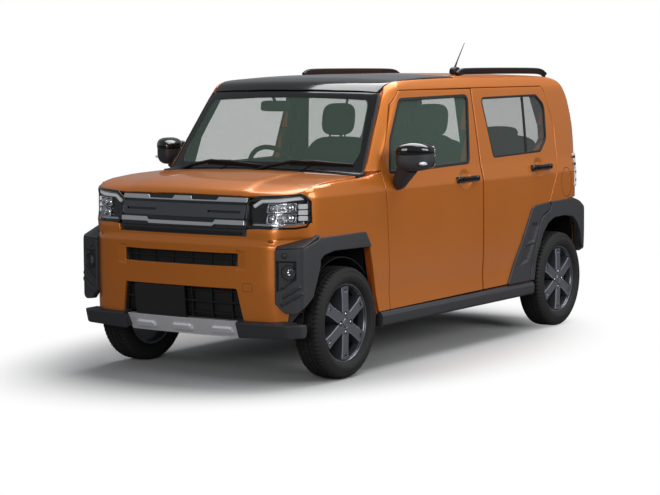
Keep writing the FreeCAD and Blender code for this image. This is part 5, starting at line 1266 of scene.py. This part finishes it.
face_points, face_quads, face_kind = wheel_face()
hub_points, hub_quads, hub_kind = wheel_hub()
turned = lathe(barrel, (0, 0, 0), (1, 0, 0), 132)
tyre_points, tyre_quads = tyre_shape()
nuts = [lathe(nut_profile, (0, stud_circle * math.cos(a), stud_circle * math.sin(a)), (1, 0, 0), 6)
    for a in stud_angles]
nut_points, nut_quads, _ = merge(*nuts)


def outward(points, quads):
    """Quads turned so that a closed shape's volume is positive."""
    a, b, c = (points[quads[:, i]] for i in range(3))
    d = points[quads[:, 3]]
    volume = np.sum(a * np.cross(b, c)) + np.sum(a * np.cross(c, d))
    return quads if volume > 0 else quads[:, ::-1]


def facing_x(points, quads):
    """Quads turned so that most face +x."""
    a, b, c = (points[quads[:, i]] for i in range(3))
    return quads if np.sum(np.cross(b - a, c - a)[:, 0]) > 0 else quads[:, ::-1]


nut_quads = outward(nut_points, np.concatenate(nut_quads))
rim_part = merge((face_points, [facing_x(face_points, face_quads)], None),
    (hub_points, [facing_x(hub_points, hub_quads)], None), turned, (nut_points, [nut_quads], None))
rim_kinds = np.concatenate([face_kind, hub_kind, np.zeros(len(turned[1][0])), np.ones(len(nut_quads))])
rim_finishes = [alloy, bright_alloy, recess_shade, disc_iron]
tyre_part = (tyre_points, [outward(tyre_points, tyre_quads)], None)
AXLES = (("front", -1.1825, 1.300), ("rear", 1.2775, 1.295))
for place, y, track in AXLES:
    for side, sign in (("left", 1.0), ("right", -1.0)):
        for name, node, part, finish in (("rim_cast", "rim", rim_part, rim_finishes),
                                         ("tyre_moulded", "tyre", tyre_part, tyre_black)):
            points, quads, _ = part if sign > 0 else reflected(part)
            centre = np.array([sign * track / 2, y, tyre_radius])
            made = fit("%s_%s_%s" % (name, place, side), (points + centre, quads), finish,
                "wheel_%s_%s" % (place, side), stands_for="%s_%s_%s" % (node, place, side))
            if node == "rim":
                made.data.polygons.foreach_set("material_index", rim_kinds.astype(np.int32))


# Door mirrors: a gloss moulded cap over a matt lower shell, on a short arm bolted to the
# door's corner, with a clear turn lamp along the lower outer edge and a glass behind.
def pillow(centre, size, power=4.0, lean=0.0, rows=28, columns=48):
    """A rounded box: each point lies where |x/a|^n + |y/b|^n + |z/c|^n = 1. lean shears y
    with z."""
    lat = np.linspace(-math.pi / 2, math.pi / 2, rows)
    lon = np.arange(columns) * 2 * math.pi / columns
    a, b = np.meshgrid(lat, lon, indexing="ij")
    way = np.stack([np.cos(a) * np.cos(b), np.cos(a) * np.sin(b), np.sin(a)], -1)
    far = (np.abs(way) ** power).sum(-1) ** (-1 / power)
    points = way * far[..., None] * (np.array(size) / 2)
    points[..., 1] += lean * points[..., 2]
    return points.reshape(-1, 3) + np.array(centre), [grid(rows, columns, True)], None


def tube(path, radii, sides=16, squash=1.0):
    """A round section carried along points, square to the path, with closed ends. squash
    flattens it upwards."""
    path = np.array(path, float)
    radii = np.broadcast_to(np.asarray(radii, float), len(path))
    along = np.gradient(path, axis=0)
    along /= np.linalg.norm(along, axis=1, keepdims=True)
    first = np.cross(along, (0.0, 0.0, 1.0))
    first /= np.linalg.norm(first, axis=1, keepdims=True)
    second = np.cross(first, along)
    angle = np.arange(sides) * 2 * math.pi / sides
    circle = np.cos(angle)[:, None] * first[:, None] + squash * np.sin(angle)[:, None] * second[:, None]
    rings = path[:, None] + radii[:, None, None] * circle
    rings = np.concatenate([np.repeat(path[:1], sides, 0)[None], rings,
        np.repeat(path[-1:], sides, 0)[None]])
    return rings.reshape(-1, 3), [grid(len(rings), sides, True)], None


def mirror_form(part):
    """A part whose points narrow outwards and sweep back."""
    middle = np.array([0.846, -0.690, 1.155])
    local = part[0] - middle
    out = np.clip(local[:, 0] / 0.08, -1, 1)
    local[:, 2] *= 1 - 0.20 * np.clip(out, 0, 1) ** 2 - 0.22 * np.clip(-out, 0, 1) ** 2 * (local[:, 2] > 0)
    local[:, 1] *= 1 - 0.25 * np.clip(out, 0, 1)
    local[:, 1] += 0.035 * out
    return local + middle, part[1], None


shell = mirror_form(pillow((0.846, -0.690, 1.152), (0.160, 0.176, 0.150), 3.2))
cap = mirror_form(pillow((0.846, -0.692, 1.1885), (0.164, 0.182, 0.088), 3.0))
pair("mirror_shell", shell, grained, "door_front")
pair("mirror_cap", cap, gloss, "door_front")
arm = tube([(0.716, -0.664, 0.984), (0.728, -0.668, 1.000), (0.752, -0.676, 1.040), (0.800, -0.688, 1.100)],
    [0.024, 0.038, 0.050, 0.060], 28, 0.9)
pair("mirror_arm", arm, grained, "door_front")
glass_back = pillow((0.850, -0.5985, 1.150), (0.130, 0.006, 0.122), 6.0)
pair("mirror_glass", glass_back, mirror_plate, "door_front", slot="silver_trim")
repeater = pillow((0.9040, -0.690, 1.1200), (0.030, 0.100, 0.020), 3.0)
pair("mirror_repeater", repeater, light, "door_front")

# Door handles: a gloss moulded pull bar over the hollow in each door, thicker towards its
# ends, where its two feet are bolted through the skin.
for place, middle, height in (("front", 0.102, 0.990), ("rear", 1.025, 1.016)):
    points, quads, _ = pillow((0.7300, middle, height), (0.020, 0.246, 0.038), 4.0)
    far = abs(points[:, 1] - middle)
    points[:, 0] -= 6.0 * np.maximum(0, far - 0.07) ** 2
    points[:, 2] = height + (points[:, 2] - height) * (0.84 + 3.0 * far ** 1.2)
    bar = (points, quads, None)
    ends = merge(pillow((0.722, middle - 0.106, height), (0.030, 0.040, 0.042), 3.5),
        pillow((0.722, middle + 0.108, height), (0.030, 0.034, 0.036), 3.5))
    pair("handle_%s" % place, merge(bar, ends), gloss, "door_%s" % place)
for side in ("left", "right"):
    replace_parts(bpy.data.objects["mirror_shell_%s" % side], "door_front_%s_trim" % side)
    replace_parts(bpy.data.objects["handle_rear_%s" % side], "door_rear_%s_trim" % side)

# Fuel lid: a pressed oval cover let into the left quarter and hinged inside, seen as the
# thin dark line round it.
def oval(u, v, half_u, half_v, count=64):
    """An ellipse about (u, v)."""
    angle = np.arange(count) * 2 * math.pi / count
    return np.stack([u + half_u * np.cos(angle), v + half_v * np.sin(angle)], -1)


lid = oval(1.368, 0.906, 0.072, 0.092)
fit("fuel_lid_line", skin(from_side, grown(lid, 0.0020), [grown(lid, -0.0016)], lift=0.0004, depth=0.002,
    turn=0.0005, pitch=0.02), black_and_shade)

# Roof rails: coated aluminium tubes whose ends turn down to feet on the roof, over a low
# moulded fin that closes the gap below.
rail_grey = Finish("black_rail", "black_plastic", srgb(20, 20, 22), 0.32, specular_ior_level=0.25,
    wear=(80.0, 0.1, 0.28))


def smoothed(points, count=24):
    """A curve through points, by piecewise cubics."""
    p = np.array(points, float)
    p = np.concatenate([2 * p[:1] - p[1:2], p, 2 * p[-1:] - p[-2:-1]])
    t = np.linspace(0, 1, count, endpoint=False)[:, None]
    runs = []
    for a, b, c, d in zip(p, p[1:], p[2:], p[3:]):
        square = 2 * a - 5 * b + 4 * c - d
        cube = 3 * b - a - 3 * c + d
        runs.append(0.5 * (2 * b + (c - a) * t + square * t ** 2 + cube * t ** 3))
    return np.concatenate(runs + [p[-2:-1]])


rail_line = smoothed([(0.545, 0.276, 1.594), (0.545, 0.330, 1.6125), (0.545, 0.460, 1.6165),
    (0.545, 0.840, 1.6165), (0.545, 1.230, 1.6135), (0.545, 1.345, 1.606), (0.545, 1.402, 1.586)], 10)
fin = tube(rail_line * (1, 0.985, 1) + (0, 0.012, -0.014), 0.0085, 12, 1.4)
pair("roof_rail", merge(tube(rail_line, 0.0125, 20), fin), rail_grey)
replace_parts(bpy.data.objects["roof_rail_left"], "roof_rails")

# Antenna: a sprung steel mast that leans back from a moulded plastic foot, which is
# bolted through the roof's left side.
antenna_low, antenna_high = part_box("antenna")
foot_y = antenna_low[1] + 0.035
mast = tube([(0.450, foot_y - 0.004, 1.622), (0.450, foot_y + 0.010, 1.640), (0.450, foot_y + 0.030, 1.668),
    (0.450, antenna_high[1] - 0.004, antenna_high[2] - 0.004)], [0.0075, 0.006, 0.004, 0.0018], 12)
antenna_foot = pillow((0.450, foot_y, 1.612), (0.046, 0.080, 0.046), 2.8, lean=0.35)
fit("antenna_mast", merge(mast, antenna_foot), rail_grey, stands_for="antenna")

# Wipers: black pressed arms on two pivots in the cowl, each carrying a framed blade that
# lies along the foot of the screen.
wiper_parts = []
for pivot, elbow, tip in (((-0.594, -0.948, 1.052), (-0.321, -0.966, 1.117), (0.018, -0.962, 1.101)),
                          ((-0.093, -0.962, 1.052), (0.239, -0.968, 1.125), (0.601, -0.934, 1.117))):
    pivot, elbow, tip = (np.array(p) for p in (pivot, elbow, tip))
    along = (tip - elbow) / np.linalg.norm(tip - elbow)
    start = elbow - along * 0.03
    hump = elbow + along * 0.13
    arm_path = [pivot, pivot * 0.5 + elbow * 0.5 + (0, -0.006, 0.010), elbow + (0, -0.006, 0.004), elbow
        + along * 0.12 + (0, -0.010, 0.004)]
    blade_path = [start, elbow * 0.5 + hump * 0.5 + (0, -0.004, 0.004), hump + (0, -0.004, 0.005), hump
        * 0.5 + tip * 0.5 + (0, -0.003, 0.001), tip]
    wiper_parts += [tube(arm_path, [0.015, 0.013, 0.011, 0.007], 12, 0.8),
        tube(blade_path, [0.006, 0.010, 0.012, 0.009, 0.005], 10),
        tube([start + (0, 0.004, -0.010), tip + (0, 0.004, -0.006)], [0.005, 0.004], 8, 2.0),
        tube([hump + (0, -0.004, -0.004), hump + (-0.085, -0.030, -0.052)], 0.0045, 8),
        lathe([(-0.01, 0.0), (-0.01, 0.019), (0.012, 0.017), (0.016, 0.0)], pivot, (0, -0.3, 1), 20)]
fit("wiper_arms", merge(*wiper_parts), rail_grey, stands_for="wipers")
eased("cowl_shell", "cowl", black_and_shade, 0.003)

# Tail lamps: clear moulded lenses with a red block and dark bars, let into the corners
# beside the tailgate and screwed in from behind it.
tail_lens = Finish("tail_lens", "clear_lens", srgb(206, 208, 212), 0.06, coat_weight=1.0,
    wear=(50.0, 0.05, 0.04))
red_lens = Finish("red_lens", "red_lens", srgb(150, 16, 12), 0.08, coat_weight=1.0, wear=(50.0, 0.05, 0.05))
tail_outline = [(0.612, 0.872, 0.008), (girth(0.718, 1.500), 0.872, 0.008),
    (girth(0.706, 1.510), 1.080, 0.008), (0.612, 1.083, 0.008)]
tail_part = skin(round_back, tail_outline, lift=0.008, depth=0.03, turn=0.004)
pair("tail_lamp_lens", tail_part, tail_lens)
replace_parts(bpy.data.objects["tail_lamp_lens_left"], "tail_lamps")
INSERT = dict(depth=0.004, turn=0.001)
stripes = [skin(round_back, oblong(0.625, z, girth(0.716, 1.500), z + 0.016, 0.002), lift=0.0095, **INSERT)
    for z in (0.905, 0.955, 1.005, 1.050)]
pair("tail_lamp_bars", merge(*stripes), black_and_shade)
block_mesh = skin(round_back, oblong(0.625, 0.925, 0.668, 1.045, 0.004), lift=0.0090, **INSERT)
pair("tail_lamp_red", block_mesh, red_lens)

# Cabin: fabric seats over foam, a moulded dashboard and steering wheel, and a mirror that
# hangs from a stem on the windscreen.
fabric = Finish("seat_fabric", "seat_fabric", srgb(40, 41, 44), 0.9)
weave = fabric.noise(420.0, 3.0)
fabric.bump(weave, 0.0004, 0.5)
fabric.feed("Roughness", weave * 0.1 + 0.82)
post = [(0, 0), (0, 0.006), (0.12, 0.006), (0.12, 0)]
cushions = []
for x in (-0.330, 0.330):
    cushions += [pillow((x, 0.035, 0.680), (0.480, 0.500, 0.150), 4.0),
        pillow((x, 0.305, 0.960), (0.470, 0.120, 0.500), 4.0, 0.26),
        pillow((x, 0.340, 1.318), (0.215, 0.100, 0.196), 3.4, 0.15)]
    cushions += [pillow((x + s * 0.205, 0.290, 0.930), (0.060, 0.150, 0.400), 3.0, 0.26) for s in (-1, 1)]
    cushions += [lathe(post, (x + s * 0.055, 0.322, 1.180), (0, 0.1, 1), 12) for s in (-1, 1)]
for x in (-0.300, 0.300):
    cushions += [pillow((x, 1.000, 0.720), (0.560, 0.420, 0.120), 4.0),
        pillow((x, 1.220, 0.970), (0.560, 0.110, 0.460), 4.0, 0.20),
        pillow((x, 1.262, 1.205), (0.240, 0.080, 0.100), 3.2)]
fit("seat_pads", merge(*cushions), fabric, stands_for="seats")
cabin_black = Finish("cabin_plastic", "cabin_plastic", srgb(34, 34, 36), 0.6)
cabin_black.bump(cabin_black.noise(800.0, 2.0), 0.0003, 0.6)
eased("dashboard_shell", "dashboard", cabin_black, 0.012)
eased("steering_wheel_shell", "steering_wheel", cabin_black, 0.002, "steering")
inner_mirror = pillow((-0.169, -0.552, 1.418), (0.210, 0.026, 0.062), 5.0, lean=0.1)
stem = lathe([(0, 0), (0, 0.009), (0.05, 0.007), (0.05, 0)], (-0.169, -0.560, 1.440), (0, -0.5, 0.6), 16)
fit("cabin_mirror", merge(inner_mirror, stem), cabin_black)

# Underbody and running gear: painted pressings welded into one floor, cast engine, hubs and
# radiator, a steel exhaust and black moulded liners and tank. Their CAD pieces show as they are.
steel = Finish("underbody_steel", "body_steel", srgb(60, 62, 64), 0.5, 0.6, wear=(40.0, 0.2, 0.4))
steel.feed("Base Color", steel.mix(steel.noise(12.0), srgb(50, 52, 54), srgb(72, 74, 76)))
cast = Finish("cast_metal", "cast_metal", srgb(120, 120, 118), 0.5, 0.85)
cast.bump(cast.noise(260.0, 3.0), 0.0008, 0.5)
pipe_steel = Finish("exhaust_steel", "exhaust_steel", srgb(132, 126, 118), 0.38, 0.9)
pipe_steel.feed("Base Color", pipe_steel.mix(pipe_steel.noise(18.0), srgb(104, 96, 86),
    srgb(150, 146, 140)))
underneath = {"floor_pan": steel, "firewall": steel, "wheelhouses": black_and_shade, "front_frame": steel,
    "wheel_liners": black_and_shade, "engine_block": cast, "radiator": cast, "front_subframe": steel,
    "fuel_tank": black_and_shade, "exhaust": pipe_steel, "rear_axle": steel, "knuckle_left": cast,
    "knuckle_right": cast}
for node, finish in underneath.items():
    nodes[node].data.materials.clear()
    nodes[node].data.materials.append(finish.material)
    "orange_paint" if node == "wheelhouses" else finish.slot

# Studio: a pale floor that keeps the car's shadow and fades to white round it, a white
# background, and three large soft boxes overhead, on the left and in front.
world = bpy.data.worlds.new("studio")
bpy.context.scene.world = world
sky = Nodes(world)
from_camera = sky.add("ShaderNodeLightPath", output="Is Camera Ray")
dim = sky.add("ShaderNodeBackground", {}, {0: (0.9, 0.95, 1.0, 1), 1: 0.27})
white = sky.add("ShaderNodeBackground", {}, {0: (1, 1, 1, 1), 1: 1.0})
sky.link(sky.add("ShaderNodeMixShader", {}, {0: from_camera, 1: dim, 2: white}), "World Output", 0)

bpy.ops.mesh.primitive_plane_add(size=60)
floor = bpy.context.object
floor.name = "floor"
concrete = Finish("studio_floor", None, (0.14, 0.13, 0.13), 0.9)
oval_place = concrete.add("ShaderNodeMapping", {}, {"Vector": concrete.place, "Location": (0.07, 0.11, 0),
    "Scale": (1 / 1.5, 1 / 2.35, 1)})
away = concrete.add("ShaderNodeVectorMath", {"operation": "LENGTH"}, {0: oval_place}, 1)
pale = concrete.add("ShaderNodeBsdfDiffuse", {}, {0: (0.60, 0.60, 0.60, 1)})
blank = concrete.add("ShaderNodeEmission", {}, {1: 1.0})
shown = concrete.add("ShaderNodeMixShader", {}, {0: away.step(0.66, 1.06), 1: pale, 2: blank})
seen = concrete.add("ShaderNodeLightPath", output="Is Camera Ray").math("MAXIMUM",
    concrete.add("ShaderNodeLightPath", output="Is Transmission Ray"))
plain = Wire(concrete, concrete.tree.nodes["Principled BSDF"].outputs[0])
concrete.link(concrete.add("ShaderNodeMixShader", {}, {0: seen, 1: plain, 2: shown}), "Material Output", 0)
floor.data.materials.append(concrete.material)


def lamp(name, place, aim, size, power):
    """A soft box facing a point."""
    light = bpy.data.lights.new(name, "AREA")
    light.shape = "RECTANGLE"
    light.size, light.size_y = size
    light.energy = power
    made = bpy.data.objects.new(name, light)
    bpy.context.scene.collection.objects.link(made)
    made.location = place
    made.rotation_euler = (Vector(aim) - Vector(place)).to_track_quat("-Z", "Y").to_euler()


lamp("overhead", (0.45, 1.6, 5.0), (0.45, 1.6, 0), (5.1, 5.0), 365)
lamp("left_side", (7.5, 1.0, 3.2), (0, 0, 0.8), (5.0, 2.5), 250)
lamp("front_fill", (3.0, -8.5, 2.6), (0, -1, 0.6), (4.0, 3.0), 190)
